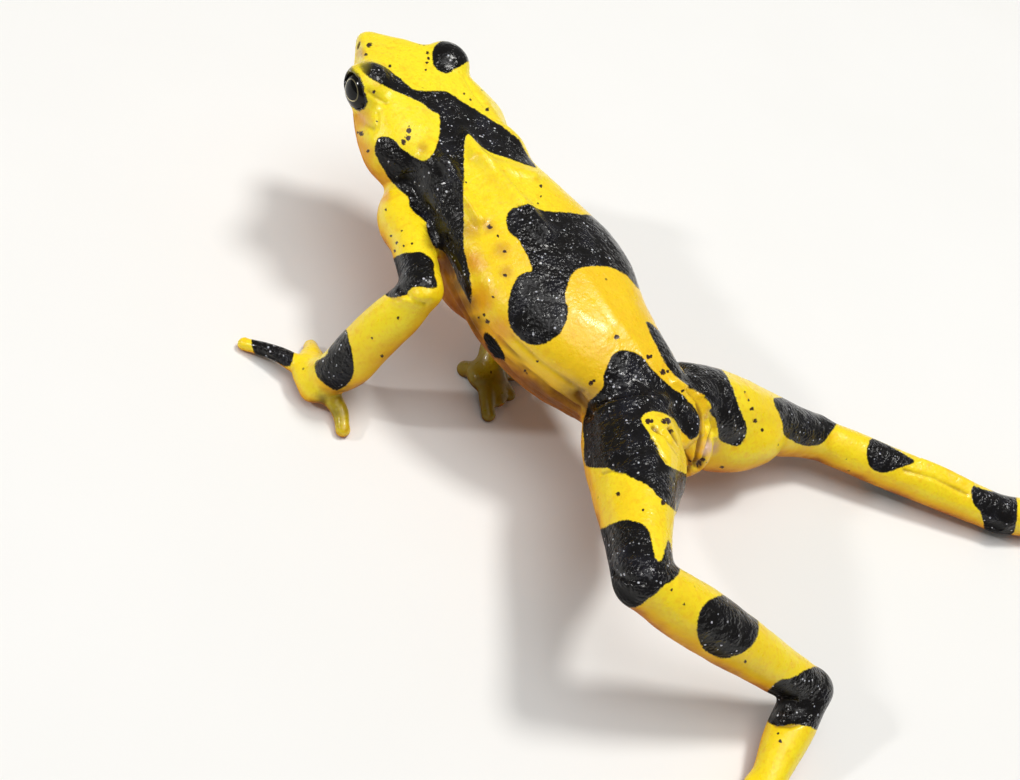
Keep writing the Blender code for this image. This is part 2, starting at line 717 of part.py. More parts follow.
def main():
    for obj in list(bpy.data.objects):
        bpy.data.objects.remove(obj)
    work = bpy.data.collections.new("golden_frog")
    bpy.context.scene.collection.children.link(work)
    body_parts(work)
    body = fused(joined("body", list(work.objects), work), COARSE_VOXEL, COARSE_EASE)
    digits(work)
    body = fused(joined("body", list(work.objects), work), FINE_VOXEL, FINE_EASE)
    tools = bpy.data.collections.new("cutters")
    bpy.context.scene.collection.children.link(tools)
    for make in (face_cutters, joint_discs, floor_box):
        make(body, tools)
        cut(body, joined("cutter", list(tools.objects), tools))
    nodes = parted(body, work)
    for name, obj in nodes.items():
        thinned(obj, budget(name))
    for name, side in (("eye_left", 1), ("eye_right", -1)):
        nodes[name] = thinned(eye(name, side, work), BUDGET["eye"])
    bpy.data.collections.remove(tools)
    return centred(list(nodes.values()))


SHIFT = main()
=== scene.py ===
"""The looks of a life-size Panamanian golden frog: skin, eyes, markings, floor, light and camera.

Places are in millimetres in the frog's own frame, in which it faces -Y and its left side is +X.
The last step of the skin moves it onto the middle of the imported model. Pixel coordinates are
those of a 1020 x 780 picture taken by the camera below.
"""

import json
import math

import bmesh
import bpy
import numpy as np
from mathutils import Matrix, Vector
from mathutils.bvhtree import BVHTree

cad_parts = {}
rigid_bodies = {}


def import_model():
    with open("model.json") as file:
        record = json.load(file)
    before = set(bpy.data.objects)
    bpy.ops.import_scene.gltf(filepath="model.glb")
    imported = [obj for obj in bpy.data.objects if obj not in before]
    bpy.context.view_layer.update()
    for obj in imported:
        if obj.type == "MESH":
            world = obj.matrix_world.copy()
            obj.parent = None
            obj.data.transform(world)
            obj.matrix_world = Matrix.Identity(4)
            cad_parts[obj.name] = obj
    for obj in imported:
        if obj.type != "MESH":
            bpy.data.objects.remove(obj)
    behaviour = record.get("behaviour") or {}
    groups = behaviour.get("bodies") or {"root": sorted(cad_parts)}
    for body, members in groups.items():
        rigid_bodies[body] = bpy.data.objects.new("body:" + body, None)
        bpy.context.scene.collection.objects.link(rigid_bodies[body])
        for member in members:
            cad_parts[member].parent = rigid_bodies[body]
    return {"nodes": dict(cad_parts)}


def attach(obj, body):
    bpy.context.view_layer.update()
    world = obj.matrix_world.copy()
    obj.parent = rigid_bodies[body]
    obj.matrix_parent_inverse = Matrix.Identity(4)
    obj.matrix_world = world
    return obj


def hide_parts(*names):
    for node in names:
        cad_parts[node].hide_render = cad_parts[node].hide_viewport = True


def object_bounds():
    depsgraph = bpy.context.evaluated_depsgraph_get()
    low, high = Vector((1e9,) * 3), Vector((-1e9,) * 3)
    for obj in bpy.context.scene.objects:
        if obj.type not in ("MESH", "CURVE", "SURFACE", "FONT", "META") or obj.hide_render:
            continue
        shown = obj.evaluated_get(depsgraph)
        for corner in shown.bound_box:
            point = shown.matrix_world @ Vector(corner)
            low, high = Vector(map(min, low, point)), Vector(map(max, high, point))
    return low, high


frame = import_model()
CAD_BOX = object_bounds()

MM = 0.001
METRE = 1000.0

# Driving dimensions, in millimetres
SNOUT = Vector((0.0, -24.0, 16.8))
VENT = Vector((0.0, 24.3, 10.7))
COARSE_VOXEL = 0.3
COARSE_EASE = 14
FINE_VOXEL = 0.2
FINE_EASE = 2

# Cross-sections of the head behind the snout tip, heights measured from the body axis:
# along, crown, canthus out, canthus up, cheek out, cheek up, lip out, lip up, jaw out, jaw up, chin
HEAD_SECTIONS = (
    (0.25, 0.85, 0.70, 0.68, 0.75, 0.25, 0.70, -0.15, 0.45, -0.50, -0.60),
    (0.6, 1.05, 1.00, 0.88, 1.00, 0.30, 0.98, -0.32, 0.70, -0.85, -1.00),
    (1.2, 1.30, 1.45, 1.10, 1.40, 0.35, 1.42, -0.45, 1.05, -1.20, -1.45),
    (3.0, 1.90, 2.60, 1.75, 2.50, 0.40, 2.80, -0.70, 2.50, -1.65, -2.20),
    (5.0, 2.45, 3.60, 2.35, 3.55, 0.50, 4.05, -0.90, 3.80, -1.95, -2.80),
    (7.2, 2.80, 4.15, 2.60, 4.95, 0.60, 5.45, -1.10, 5.10, -2.30, -3.35),
    (9.6, 2.95, 4.85, 2.55, 6.45, 0.65, 6.70, -1.25, 6.00, -2.70, -3.85),
    (12.2, 3.00, 4.90, 2.50, 7.25, 0.60, 7.40, -1.35, 6.45, -3.10, -4.30),
    (15.0, 3.15, 4.50, 2.50, 6.25, 0.50, 6.45, -1.50, 5.60, -3.40, -4.60),
)

# Cross-sections of the trunk: along, half width, top, bottom, sideways bend
TRUNK_SECTIONS = (
    (9.5, 4.0, 2.1, 3.1, 0.0),
    (13.0, 5.4, 2.9, 4.1, 0.0),
    (16.5, 5.6, 3.4, 4.8, 0.2),
    (20.0, 6.1, 3.7, 5.6, 0.6),
    (24.0, 7.0, 4.0, 6.1, 0.8),
    (28.0, 7.85, 4.2, 6.7, 1.0),
    (32.0, 7.75, 4.3, 6.9, 1.3),
    (36.0, 6.3, 4.2, 6.5, 1.8),
    (40.0, 5.0, 3.6, 5.5, 1.4),
    (43.5, 4.0, 2.7, 4.5, 0.7),
    (46.3, 2.8, 1.6, 3.2, 0.1),
    (47.8, 1.4, 0.8, 1.5, 0.0),
)

SNOUT_PLACE = (0.7, 0.0, 0.1)
SNOUT_RADII = (0.8, 0.9, 0.75)

# The eye: place on the body axis (along, out, up), ball radius and the opening of the lids
EYE_PLACE = (6.75, 4.6, 1.25)
EYE_RADIUS = 1.9
EYE_LENGTH = 1.55
EYE_HEIGHT = 1.15
EYE_TILT = 14.0
GAZE = Vector((1.0, -0.12, 0.22))
LID_PLACE = (6.7, 4.4, 1.55)
LID_RADII = (2.25, 2.4, 2.1)
BROW_PLACE = (7.0, 3.3, 1.0)
BROW_RADII = (2.5, 3.5, 1.85)
CHEEK_PLACE = (7.4, 4.1, 0.1)
CHEEK_RADII = (1.7, 3.6, 1.35)
RIM_OUT = 0.28
RIM_RADIUS = 0.26
RIM_UP = 0.92
SCAPULA_PLACE = (16.6, 3.4, 1.3)
SCAPULA_RADII = (2.1, 3.4, 2.0)
SCAPULA_BEND = 0.2

# First and last place of the lofts along the axis, and how many rings
HEAD_SPAN = (0.25, 15.0, 34)
TRUNK_SPAN = (9.5, 47.8, 56)
TRUNK_POWERS = (0.88, 0.95)
RING_POINTS = 48

# Between the rows of a head section: share of the width, of crown and canthus, a rise, share of the chin
MIDWAY = 0.55
CROWN_SHARES = (0.6, 0.4)
CROWN_RISE = 0.12
CHIN_SHARE = 0.85

# Columns of a head section that hold the lip: out and up
LIP_COLUMNS = slice(6, 8)

# The line of the mouth: places along it, how far below the lip it runs, its corner and its front
MOUTH_STATIONS = (1.2, 2.2, 3.6, 5.2, 7.0, 8.8, 10.6, 12.0)
MOUTH_SHARE = 0.99
MOUTH_DROP = 0.28
MOUTH_FALL = 0.03
MOUTH_CORNER = Vector((0.0, 0.2, -0.5))
MOUTH_FRONT = (-0.1, 0.0, -0.50)
NOSTRIL_PLACE = (1.35, 1.72, 0.72)

# Places of the joints, in millimetres, and of the hands and feet
SHOULDER = Vector((6.0, -8.0, 11.8))
RIGHT_SHOULDER = Vector((-SHOULDER.x, SHOULDER.y, SHOULDER.z))
LEFT_ELBOW = Vector((12.0, 1.4, 13.3))
LEFT_WRIST = Vector((16.7, -0.5, 3.9))
LEFT_PALM = Vector((17.7, -2.3, 1.75))
RIGHT_ELBOW = Vector((-9.2, 0.4, 6.9))
RIGHT_WRIST = Vector((1.2, 3.2, 2.9))
RIGHT_PALM = Vector((3.3, 4.7, 1.45))
ARM_ROOT = (16.5, 3.0, -1.5)
THIGH_SHARES = (0.26, 0.62)
LOWER_SHARES = (0.3, 0.7)

LEFT_HIP = Vector((2.7, 18.2, 10.6))
LEFT_KNEE = Vector((15.6, 31.0, 13.5))
LEFT_HEEL = Vector((3.1, 43.4, 4.1))
LEFT_TARSUS = Vector((7.1, 45.0, 2.3))
LEFT_SOLE = Vector((11.2, 46.8, 1.25))
RIGHT_HIP = Vector((-3.2, 18.8, 9.1))
RIGHT_KNEE = Vector((-18.5, 26.4, 3.7))
RIGHT_HEEL = Vector((-30.6, 42.3, 2.2))
RIGHT_TARSUS = Vector((-34.3, 44.7, 1.8))
RIGHT_SOLE = Vector((-38.2, 46.6, 1.2))

LEFT_ARM = (SHOULDER, LEFT_ELBOW, LEFT_WRIST, LEFT_PALM)
RIGHT_ARM = (RIGHT_SHOULDER, RIGHT_ELBOW, RIGHT_WRIST, RIGHT_PALM)
LEFT_LEG = (LEFT_HIP, LEFT_KNEE, LEFT_HEEL, LEFT_TARSUS, LEFT_SOLE)
RIGHT_LEG = (RIGHT_HIP, RIGHT_KNEE, RIGHT_HEEL, RIGHT_TARSUS, RIGHT_SOLE)

# Each foot: tarsus, sole, and 1 or -1 for the side on which its inner toe is
FEET = ((LEFT_TARSUS, LEFT_SOLE, 1), (RIGHT_TARSUS, RIGHT_SOLE, -1))

# Radii along the limbs, from the root to the end
UPPER_ARM_RADII = (2.2, 2.25, 1.95, 1.75)
LEFT_FOREARM_RADII = (1.7, 2.05, 2.15, 2.05, 1.4)
RIGHT_FOREARM_RADII = (1.8, 2.05, 1.95, 1.65, 1.2)
THIGH_RADII = (3.8, 3.95, 3.05, 2.2)
LEFT_SHANK_RADII = (2.15, 2.5, 2.15, 1.85)
RIGHT_SHANK_RADII = (2.0, 2.1, 2.0, 1.85)
TARSUS_RADII = (1.85, 1.85, 1.2)

# Fuller places: place, radii and turn about the vertical
SWELLINGS = (
    ((5.0, -6.9, 11.2), (2.7, 3.3, 2.9), 50),
    ((5.05, 0.3, 10.35), (2.8, 5.0, 2.8), -13),
    ((-8.0, 22.9, 6.1), (5.8, 3.2, 3.2), -28),
    ((-1.2, 22.4, 8.3), (2.8, 2.5, 2.5), 0),
    ((-3.4, 19.8, 9.7), (3.2, 2.8, 3.1), -28),
    ((5.2, 23.0, 10.2), (5.0, 3.3, 3.4), 45),
    ((7.4, 24.6, 11.0), (4.0, 2.9, 3.0), 45),
    ((17.6, -2.1, 1.65), (2.0, 2.8, 1.3), -10),
    ((16.3, -4.3, 1.25), (1.2, 1.3, 0.95), 0),
    ((18.5, -1.3, 1.15), (1.15, 1.1, 1.05), 0),
    ((3.5, 4.9, 1.4), (1.9, 2.1, 1.15), 20),
    ((3.9, 6.9, 0.85), (1.3, 1.2, 0.6), 0),
)
KNEE_RADIUS = 2.2
ELBOW_RADIUS = 1.75
HEEL_RADII = (1.95, 1.95, 1.9)
SOLE_RADII = (2.5, 1.9, 1.0)

# Digits: root, knuckle, tip, then the radius at the root and at the tip
LEFT_FINGERS = (
    ((16.8, -2.4, 1.4), (15.9, -3.0, 1.1), (15.1, -3.7, 0.52), 0.75, 0.60),
    ((17.0, -3.3, 1.6), (16.1, -4.6, 1.4), (15.2, -5.8, 0.52), 0.90, 0.62),
    ((18.0, -3.6, 1.6), (18.9, -6.1, 1.35), (20.2, -8.7, 0.52), 0.85, 0.58),
    ((17.6, -0.8, 1.4), (17.5, 1.3, 1.05), (18.2, 3.0, 0.52), 0.90, 0.62),
)
RIGHT_FINGERS = (
    ((3.7, 3.9, 1.3), (4.0, 3.3, 1.05), (4.1, 2.8, 0.62), 0.85, 0.75),
    ((3.9, 5.3, 1.4), (4.9, 6.6, 1.1), (5.6, 7.9, 0.52), 0.85, 0.62),
    ((2.9, 5.4, 1.4), (2.6, 6.3, 1.05), (2.3, 7.0, 0.54), 0.85, 0.64),
    ((2.2, 4.9, 1.3), (0.6, 5.6, 1.0), (-1.0, 6.0, 0.52), 0.75, 0.60),
)
TOE_LENGTHS = (2.9, 4.6, 6.6, 9.0, 6.2)
TOE_TURNS = (52, 30, 10, -10, -32)
TOE_RADIUS = 0.62
TOE_SPACING = 0.62
TOE_START = 0.6
TOE_HEIGHTS = (1.1, 0.95, 0.5)
TOE_TAPER = (1.15, 0.92)
TIP_SHARE = 1.08
WEB_UP = 0.62
WEB_RADII = (1.7, 1.1, 0.36)

# The fine skin: size of its voxels, how often it is eased, and the openings cut in it
SKIN_VOXEL = 0.125
SKIN_EASE = 3
MOUTH_RADIUS = 0.17
NOSTRIL_RADII = (0.30, 0.38, 0.26)
# How far round the nostrils their painted shade reaches, in millimetres
NOSTRIL_SHADE_REACH = 0.20
LID_MARGIN = 0.10
LID_DEEP = 0.4
LID_FAR = 4.0

# The eyeball: rings and steps round it, how far it goes under the lids, and where its back is
EYE_RINGS = 40
EYE_STEPS = 96
EYE_MARGIN = 0.3
EYE_BACK = 0.2

# Regions of the skin: along, half width, bend, top and bottom of the head, then where it ends
HEAD_GIRTHS = ((0, 1.5, 0, 1.2, 1.2), (3, 3.0, 0, 1.8, 2.2), (7, 6.4, 0, 3.4, 3.3), (12, 6.9, 0, 3.0, 4.2))
HEAD_END = 15
BODY_LENGTH = 48
END_RADIUS = 2.0
ARM_REACH = (2.3, 1.9, 1.8, 1.8)
LEG_REACH = (3.8, 3.2, 2.4, 2.1, 1.8, 1.8)
THIGH_FULL = 0.6
JOIN_RANGE = (0.05, 0.6)

# The camera, fitted to the photograph: place in the frog's frame, its axes and focal length
PICTURE = (1020, 780)
CAMERA_PLACE = Vector((73.8, 48.5, 87.4))
CAMERA_RIGHT = Vector((-0.7159, 0.6368, 0.2864))
CAMERA_DOWN = Vector((0.3603, 0.6882, -0.6297))
CAMERA_FORWARD = Vector((-0.5981, -0.3476, -0.7221))
FOCAL_PIXELS = 1329.0
SENSOR_WIDTH = 36.0

# The studio: world and floor, then each lamp's name, place, target, size in metres, power and tint
WORLD_STRENGTH = 0.22
WORLD_TINT = (1.0, 0.99, 0.97, 1)
FLOOR_HALF = 1.5
LAMPS = (
    ("key", (-0.16, 0.02, 0.48), (0.0, 0.0, 0.01), 0.11, 1.25, (1.0, 0.98, 0.94)),
    ("side", (0.34, -0.24, 0.26), (0.0, 0.0, 0.01), 0.035, 0.55, (1.0, 0.98, 0.96)),
    ("top", (0.06, 0.04, 0.60), (0.0, 0.0, 0.01), 0.50, 1.35, (1.0, 1.0, 1.0)),
)

# The gold ring of the iris, how far the black goes round the lids, and where it starts on the gaze
RING_RADIUS = 0.98
LID_BLACK = 0.35
LID_FRONT = 0.3

# Depths inside the black are kept within this many millimetres
DEPTH_LIMIT = 1.5

# How squarely the skin has to face the camera: for markings, relief and spots
MARKING_FACING = (-0.06, 0.08)
RELIEF_FACING = (0.05, 0.3)
SPOT_FACING = 0.2

# How far round an outline or line points are looked at: in pixels, and in pixels for each millimetre
OUTLINE_MARGIN = 25
RELIEF_MARGIN = 45

# Outlines of the black markings, in pixels of the picture
HEAD_AND_NAPE = (
    (361, 63), (372, 62), (385, 67), (402, 80), (415, 90), (434, 91), (447, 92), (460, 100), (480, 113),
    (498, 124), (508, 131), (519, 140), (525, 150), (536, 167), (531, 167), (519, 162), (507, 158),
    (489, 152), (479, 148), (467, 139), (464, 150), (464, 195), (464, 219), (464, 246), (469, 270),
    (473, 292), (470, 304), (468, 294), (457, 278), (445, 256), (432, 239), (426, 223), (410, 207),
    (408, 198), (397, 187), (389, 178), (381, 165), (375, 152), (375, 145), (380, 137), (389, 137),
    (395, 141), (403, 149), (418, 159), (427, 160), (436, 148), (440, 130), (439, 115), (433, 112),
    (418, 101), (393, 90), (372, 79), (360, 69))
RIGHT_LID = ((432, 57), (434, 48), (441, 41), (451, 37), (462, 40), (470, 49), (471, 58), (464, 64),
             (454, 69), (446, 74), (437, 70), (433, 64))
EYE_CORNER = ((352, 66), (356, 76), (361, 86), (366, 95), (367, 103), (364, 108), (360, 109),
              (353, 103), (345, 96), (343, 84), (347, 72))
BACK = (
    (508, 212), (526, 209), (558, 212), (582, 214), (600, 216), (612, 223), (623, 237), (633, 254),
    (640, 276), (639, 289), (627, 276), (612, 268), (594, 266), (578, 269), (571, 276), (568, 284),
    (565, 298), (568, 308), (567, 318), (560, 333), (546, 343), (532, 345), (521, 339), (511, 328),
    (508, 310), (510, 294), (517, 278), (526, 272), (532, 270), (528, 258), (519, 241), (508, 230))
FLANK = ((484, 333), (489, 335), (500, 347), (505, 361), (500, 361), (492, 355), (485, 343))
HIP = (
    (615, 353), (623, 350), (631, 351), (642, 357), (652, 369), (666, 383), (682, 395), (695, 408),
    (701, 418), (701, 430), (693, 440), (682, 432), (674, 420), (666, 414), (652, 411), (643, 415),
    (642, 422), (650, 434), (658, 446), (662, 457), (670, 467), (694, 478), (696, 496), (686, 516),
    (662, 500), (650, 487), (638, 481), (623, 473), (607, 468), (586, 466), (584, 442), (584, 408),
    (593, 398), (603, 387), (604, 375), (609, 361))
LEFT_KNEE_BLACK = (
    (603, 528), (619, 521), (631, 520), (642, 524), (650, 532), (653, 549), (656, 559), (662, 560),
    (668, 540), (674, 555), (680, 568), (674, 579), (662, 587), (650, 598), (635, 608), (619, 602),
    (609, 579), (600, 561), (598, 536))
LEFT_SHANK_SPOT = ((697, 625), (702, 607), (714, 598), (728, 595), (744, 604), (757, 619), (758, 634),
                   (749, 648), (735, 656), (721, 658), (706, 651), (699, 640))
LEFT_HEEL_BLACK = (
    (769, 690), (780, 680), (794, 677), (810, 668), (822, 668), (834, 680), (838, 702), (836, 722),
    (825, 732), (810, 727), (794, 724), (780, 725), (768, 722), (766, 708), (762, 696))
RIGHT_THIGH_BAND = (
    (646, 322), (658, 330), (672, 344), (691, 355), (707, 361), (723, 370), (733, 389), (740, 410),
    (747, 428), (740, 445), (727, 444), (719, 438), (715, 422), (707, 408), (695, 393), (682, 383),
    (670, 369), (658, 349))
RIGHT_KNEE_BLACK = (
    (774, 398), (795, 400), (808, 401), (821, 410), (837, 420), (830, 433), (821, 444), (806, 446),
    (795, 442), (784, 435), (782, 422), (778, 412))
RIGHT_SHANK_SPOT = ((873, 438), (888, 444), (906, 455), (915, 461), (906, 466), (897, 469), (884, 473),
                    (871, 468), (867, 457), (868, 446))
RIGHT_ANKLE_BLACK = ((972, 487), (984, 490), (999, 492), (1016, 494), (1014, 532), (990, 545), (984, 527),
                     (980, 511), (973, 503))
LEFT_ARM_BAND = ((392, 261), (402, 254), (416, 252), (425, 254), (434, 261), (434, 273), (437, 287),
                 (419, 287), (412, 288), (402, 297), (390, 297), (384, 292), (393, 287), (393, 273))
LEFT_WRIST_BLACK = ((345, 328), (350, 344), (353, 356), (354, 369), (350, 381), (337, 390), (323, 383),
                    (315, 371), (316, 362), (326, 356), (330, 347), (337, 338))
LONG_FINGER_BLACK = ((253, 328), (268, 330), (284, 335), (294, 345), (290, 366), (272, 361), (254, 353))

# Which region each outline is on, and whether it goes right round the limb
MARKINGS = (
    (HEAD_AND_NAPE, ("body", "left_arm", "right_arm"), False),
    (RIGHT_LID, ("body",), False),
    (EYE_CORNER, ("body",), False),
    (BACK, ("body",), False),
    (FLANK, ("body",), False),
    (HIP, ("body", "left_leg"), False),
    (LEFT_KNEE_BLACK, ("left_leg",), True),
    (LEFT_SHANK_SPOT, ("left_leg",), False),
    (LEFT_HEEL_BLACK, ("left_leg",), True),
    (RIGHT_THIGH_BAND, ("body", "right_leg"), False),
    (RIGHT_KNEE_BLACK, ("right_leg",), True),
    (RIGHT_SHANK_SPOT, ("right_leg",), False),
    (RIGHT_ANKLE_BLACK, ("right_leg",), True),
    (LEFT_ARM_BAND, ("left_arm",), True),
    (LEFT_WRIST_BLACK, ("left_arm",), True),
    (LONG_FINGER_BLACK, ("left_arm",), True),
)

# Black blotches on the sides that the picture doesn't show: centre, radii in millimetres, region
FAR_BLOTCHES = (
    ((-8.0, 5.6, 15.0), (2.4, 3.9, 2.6), "body"),
    ((-5.6, -6.4, 15.6), (1.8, 3.0, 1.8), "body"),
    ((-7.0, -5.5, 13.2), (2.6, 3.6, 3.2), "body"),
    ((-7.2, -4.6, 10.0), (2.4, 2.6, 2.6), "right_arm"),
    ((-6.9, 12.2, 11.0), (2.4, 2.7, 2.0), "body"),
    ((-7.6, 15.0, 8.6), (2.2, 1.6, 1.7), "body"),
    ((-9.2, 0.4, 6.6), (2.6, 2.2, 2.3), "right_arm"),
    ((-1.6, 2.3, 3.8), (1.6, 2.4, 2.4), "right_arm"),
    ((-10.5, 22.0, 9.4), (2.9, 3.6, 2.6), "right_leg"),
    ((-25.0, 33.2, 1.6), (2.6, 2.8, 1.6), "right_leg"),
    ((9.0, 38.0, 7.0), (1.7, 2.2, 2.0), "left_leg"),
)

# Raised ridges and creases: line in pixels, half width and height in millimetres
RELIEF = (
    (((464, 137), (481, 160), (500, 181), (515, 198), (524, 207), (536, 223), (547, 235)), 0.60, 0.60),
    (((444, 160), (455, 177), (464, 195), (472, 207), (480, 220)), 0.50, 0.50),
    (((446, 246), (458, 262), (466, 280), (470, 296)), 0.35, 0.22),
    (((474, 159), (500, 166), (519, 172), (534, 176)), 0.5, 0.29),
    (((464, 76), (471, 89), (478, 99), (487, 109)), 0.13, -0.09),
    (((377, 113), (378, 120), (377, 127)), 0.12, -0.05),
    (((369, 92), (376, 97), (386, 103)), 0.25, -0.16),
    (((352, 112), (362, 122), (372, 128)), 0.35, -0.16),
    (((688, 390), (698, 401), (704, 419), (703, 438), (698, 454), (696, 466)), 0.20, -0.42),
    (((708, 411), (712, 427), (708, 445), (704, 459), (700, 468)), 0.22, -0.45),
    (((699, 396), (706, 408), (709, 425), (705, 442), (701, 457)), 0.30, 0.32),
    (((676, 382), (692, 392), (706, 404), (714, 420), (714, 436)), 0.30, 0.26),
    (((654, 427), (666, 436), (675, 449), (685, 463), (688, 472)), 0.18, -0.34),
    (((670, 428), (680, 445), (689, 459), (690, 468)), 0.17, -0.32),
    (((652, 438), (660, 452), (668, 462)), 0.14, -0.16),
    (((662, 431), (671, 442), (681, 456), (687, 466)), 0.25, 0.21),
    (((598, 400), (616, 396), (637, 393), (655, 395)), 0.30, -0.26),
    (((599, 413), (611, 406), (626, 401), (642, 397), (657, 396), (668, 404)), 0.40, 0.32),
    (((578, 396), (583, 405), (588, 414)), 0.35, -0.35),
    (((602, 473), (611, 470), (621, 472)), 0.18, -0.16),
    (((498, 338), (528, 370), (556, 394), (578, 408)), 0.20, -0.20),
    (((492, 350), (520, 384), (548, 404), (572, 416)), 0.20, -0.13),
    (((512, 336), (540, 362), (566, 380), (584, 392)), 0.22, -0.15),
    (((400, 290), (412, 298), (425, 304)), 0.18, -0.19),
    (((385, 293), (392, 298), (400, 301)), 0.16, -0.16),
    (((428, 226), (436, 244), (446, 262), (452, 276)), 0.25, -0.19),
    (((612, 572), (628, 580), (644, 582)), 0.22, -0.22),
    (((766, 692), (780, 700), (794, 702)), 0.25, -0.22),
    (((775, 724), (790, 726), (806, 722)), 0.22, -0.19),
    (((724, 352), (742, 362), (760, 378)), 0.30, -0.13),
    (((921, 461), (945, 470), (972, 485)), 0.25, 0.22),
    (((905, 470), (935, 478), (968, 494)), 0.22, -0.16),
    (((398, 300), (412, 300), (428, 296)), 0.45, 0.25),
)

# Small dark specks: place and radius in pixels
SPECKS = (
    (369.6, 45, 2.0), (366, 54.5, 1.4), (390, 66, 1.3), (420, 43.5, 1.2), (424, 43.6, 1.5),
    (428, 43.5, 1.1), (427.5, 53, 1.3), (428.5, 58, 1.2), (427, 63, 1.2), (425.6, 70, 1.0),
    (487.3, 109.5, 1.5), (482, 90, 0.9), (464, 94, 0.9), (470.5, 100, 1.0), (408.8, 130.8, 2.2),
    (407.7, 137.6, 2.3), (403.3, 142, 2.3), (409, 126, 1.0), (361.5, 133.7, 2.0), (358, 132.5, 1.1),
    (368, 151, 1.3), (374, 92, 1.5), (377, 121, 0.9), (489.6, 227, 2.0), (505, 251.6, 1.6),
    (505, 275.4, 1.6), (466, 183, 1.1), (541, 186, 1.3), (538, 203, 0.8), (541, 196, 0.8),
    (586.8, 207, 1.7), (493.5, 297, 1.2), (498, 236, 1.2), (478, 318, 1.0), (537, 362, 1.0),
    (617, 337, 2.0), (648, 357, 1.9), (651, 356, 1.4), (663, 372, 2.4), (668, 371, 1.5),
    (648, 421, 2.4), (652, 421, 1.6), (664, 421, 2.3), (668, 421, 2.4), (672, 431, 1.7),
    (691, 462, 1.2), (618, 494, 1.9), (663, 503, 2.0), (643, 510, 1.1), (591, 383, 1.9),
    (594, 381, 1.4), (682, 391, 1.2), (705, 461, 1.8), (702, 465, 1.5), (700, 468, 1.2),
    (722, 467, 1.5), (745, 392, 1.2), (752, 409, 1.6), (755, 421, 1.8), (749, 400, 1.0),
    (762, 430, 1.4), (740, 434, 1.0), (672, 590, 1.2), (684, 604, 1.0), (745, 661, 1.3),
    (780, 741, 1.6), (778, 733, 1.2), (398, 318, 1.1), (372, 338, 1.0), (382, 356, 1.3),
    (402, 231, 1.0), (397, 243, 1.2), (404, 246, 1.0), (395, 251, 1.1), (412, 244, 1.0),
    (391, 236, 0.9), (386, 210, 1.0), (491, 372, 1.0), (520, 385, 1.5), (524, 372, 1.0),
    (487, 322, 2.2), (484, 315, 1.3), (476, 345, 1.0))

# Soft stains and painted shade: place and radius in pixels, and which tint. Tan and pink are stains; amber
# is the skin's own orange, and painted shade on the cheek; the darkest tint is painted shade in the
# armpit, low on the flank and behind the arm
STAINS_AND_SHADE = (
    (423, 147, 5.0, "tan"), (360, 53, 5.0, "tan"), (711, 447, 6.5, "pink"), (706, 452, 4.0, "pink"),
    (489, 227, 6.0, "tan"), (596, 389, 6.0, "tan"), (502, 250, 7.0, "tan"), (506, 272, 6.0, "tan"),
    (590, 398, 6.0, "tan"), (471, 230, 9.0, "tan"), (480, 300, 14.0, "amber"),
    (500, 330, 14.0, "amber"), (474, 262, 10.0, "amber"), (434, 240, 9.0, "umber_shade"),
    (447, 262, 8.0, "umber_shade"), (384, 196, 6.0, "amber"), (362, 152, 10.0, "amber"),
    (360, 118, 9.0, "amber"), (574, 400, 16.0, "umber_shade"), (556, 402, 12.0, "umber_shade"),
    (535, 392, 12.0, "umber_shade"), (398, 292, 7.0, "tan"), (467, 303, 9.0, "umber_shade"),
    (459, 285, 8.0, "umber_shade"), (475, 324, 8.0, "umber_shade"), (450, 268, 6.0, "umber_shade"))

# Where olive is painted: painted shade on the left hand's rear finger, and a dusty band on the nape; place
# and radius in pixels
OLIVE_SHADE_AND_DUST_PLACES = ((337, 412, 20), (342, 396, 9), (322, 402, 9), (455, 225, 10))

# Depth at which creases get their darkest painted shade, in millimetres
CREASE_SHADE_DEPTH = 0.28

# Relief all over the skin, near the joins and on the flanks: height, size of its cells and seed
SOFT_RELIEF = ((0.05, 2.6, 1), (0.025, 1.1, 2))
JOIN_RELIEF = (0.09, (0.5, 0.9, 0.5), 3)
FLANK_RELIEF = (0.15, (4.5, 0.7, 0.5), 4)
FLANK_SLANT = 0.06
FLANK_DROP = (-1.8, 1.0)
FLANK_SPAN = (18, 30)

# The ridge of the spine: height, half width, and where it starts and ends along the body
SPINE_HEIGHT = 0.10
SPINE_WIDTH = 0.6
SPINE_START = (30, 34)
SPINE_END = (44, 47)

# Numbers that scramble the cells of the noise
CELL_STEPS = (73856093, 19349663, 83492791)
SEED_STEP = 2971215073
SCRAMBLE = 1274126177

# Where the tints change: down the body, by the slope of the limbs, along the body, and on the hand. Lower
# down, the gold and orange are partly the skin's own colour and partly painted shade, the umber is painted
# shade, and the olive on the right hand is painted shade under the body
BODY_LOW = (-1.6, 3.2)
LIMB_LOW = (-0.65, 0.6)
REAR_SPAN = (8, 40)
LIMB_REAR = 0.45
HAND_SHADE_DROP = (-6.0, -1.5)
OLIVE_SHARE = 0.8

# The lips: where the head ends for them, a distance that is clear of them, and their fading corner. The
# mouth line and the nostrils are darkened with painted shade
LIP_HEAD = 16
LIP_CLEAR = 9.0
LIP_FADE = 0.2
LIP_FADE_SPAN = (6, 10)

# Relief is calmed near the lips, and by this share near the floor
LIP_CALM = (0.3, 0.8)
SOLE_CALM = 0.7
SOLE_TOP = 1.2

# Filled in when the openings are cut
MOUTH_LINE = []
NOSTRIL_SEATS = []

# Where the head stripe is thin and lets the skin under it show: place and reach in pixels
STRIPE_FRONT = (358, 63)
STRIPE_REACH = (3, 17)


def axis_frame():
    """Unit vectors backward along the body axis and up from it."""
    back = (VENT - SNOUT).normalized()
    up = Vector((1, 0, 0)).cross(back)
    return back, up


def on_body(along, out, height):
    """World place, in millimetres, this far behind the snout, to the left and above the axis."""
    back, up = axis_frame()
    return SNOUT + back * along + up * height + Vector((out, 0, 0))


def on_side(place, side):
    """World place of one of a pair: side is 1 on the left and -1 on the right."""
    along, out, height = place
    return on_body(along, out * side, height)


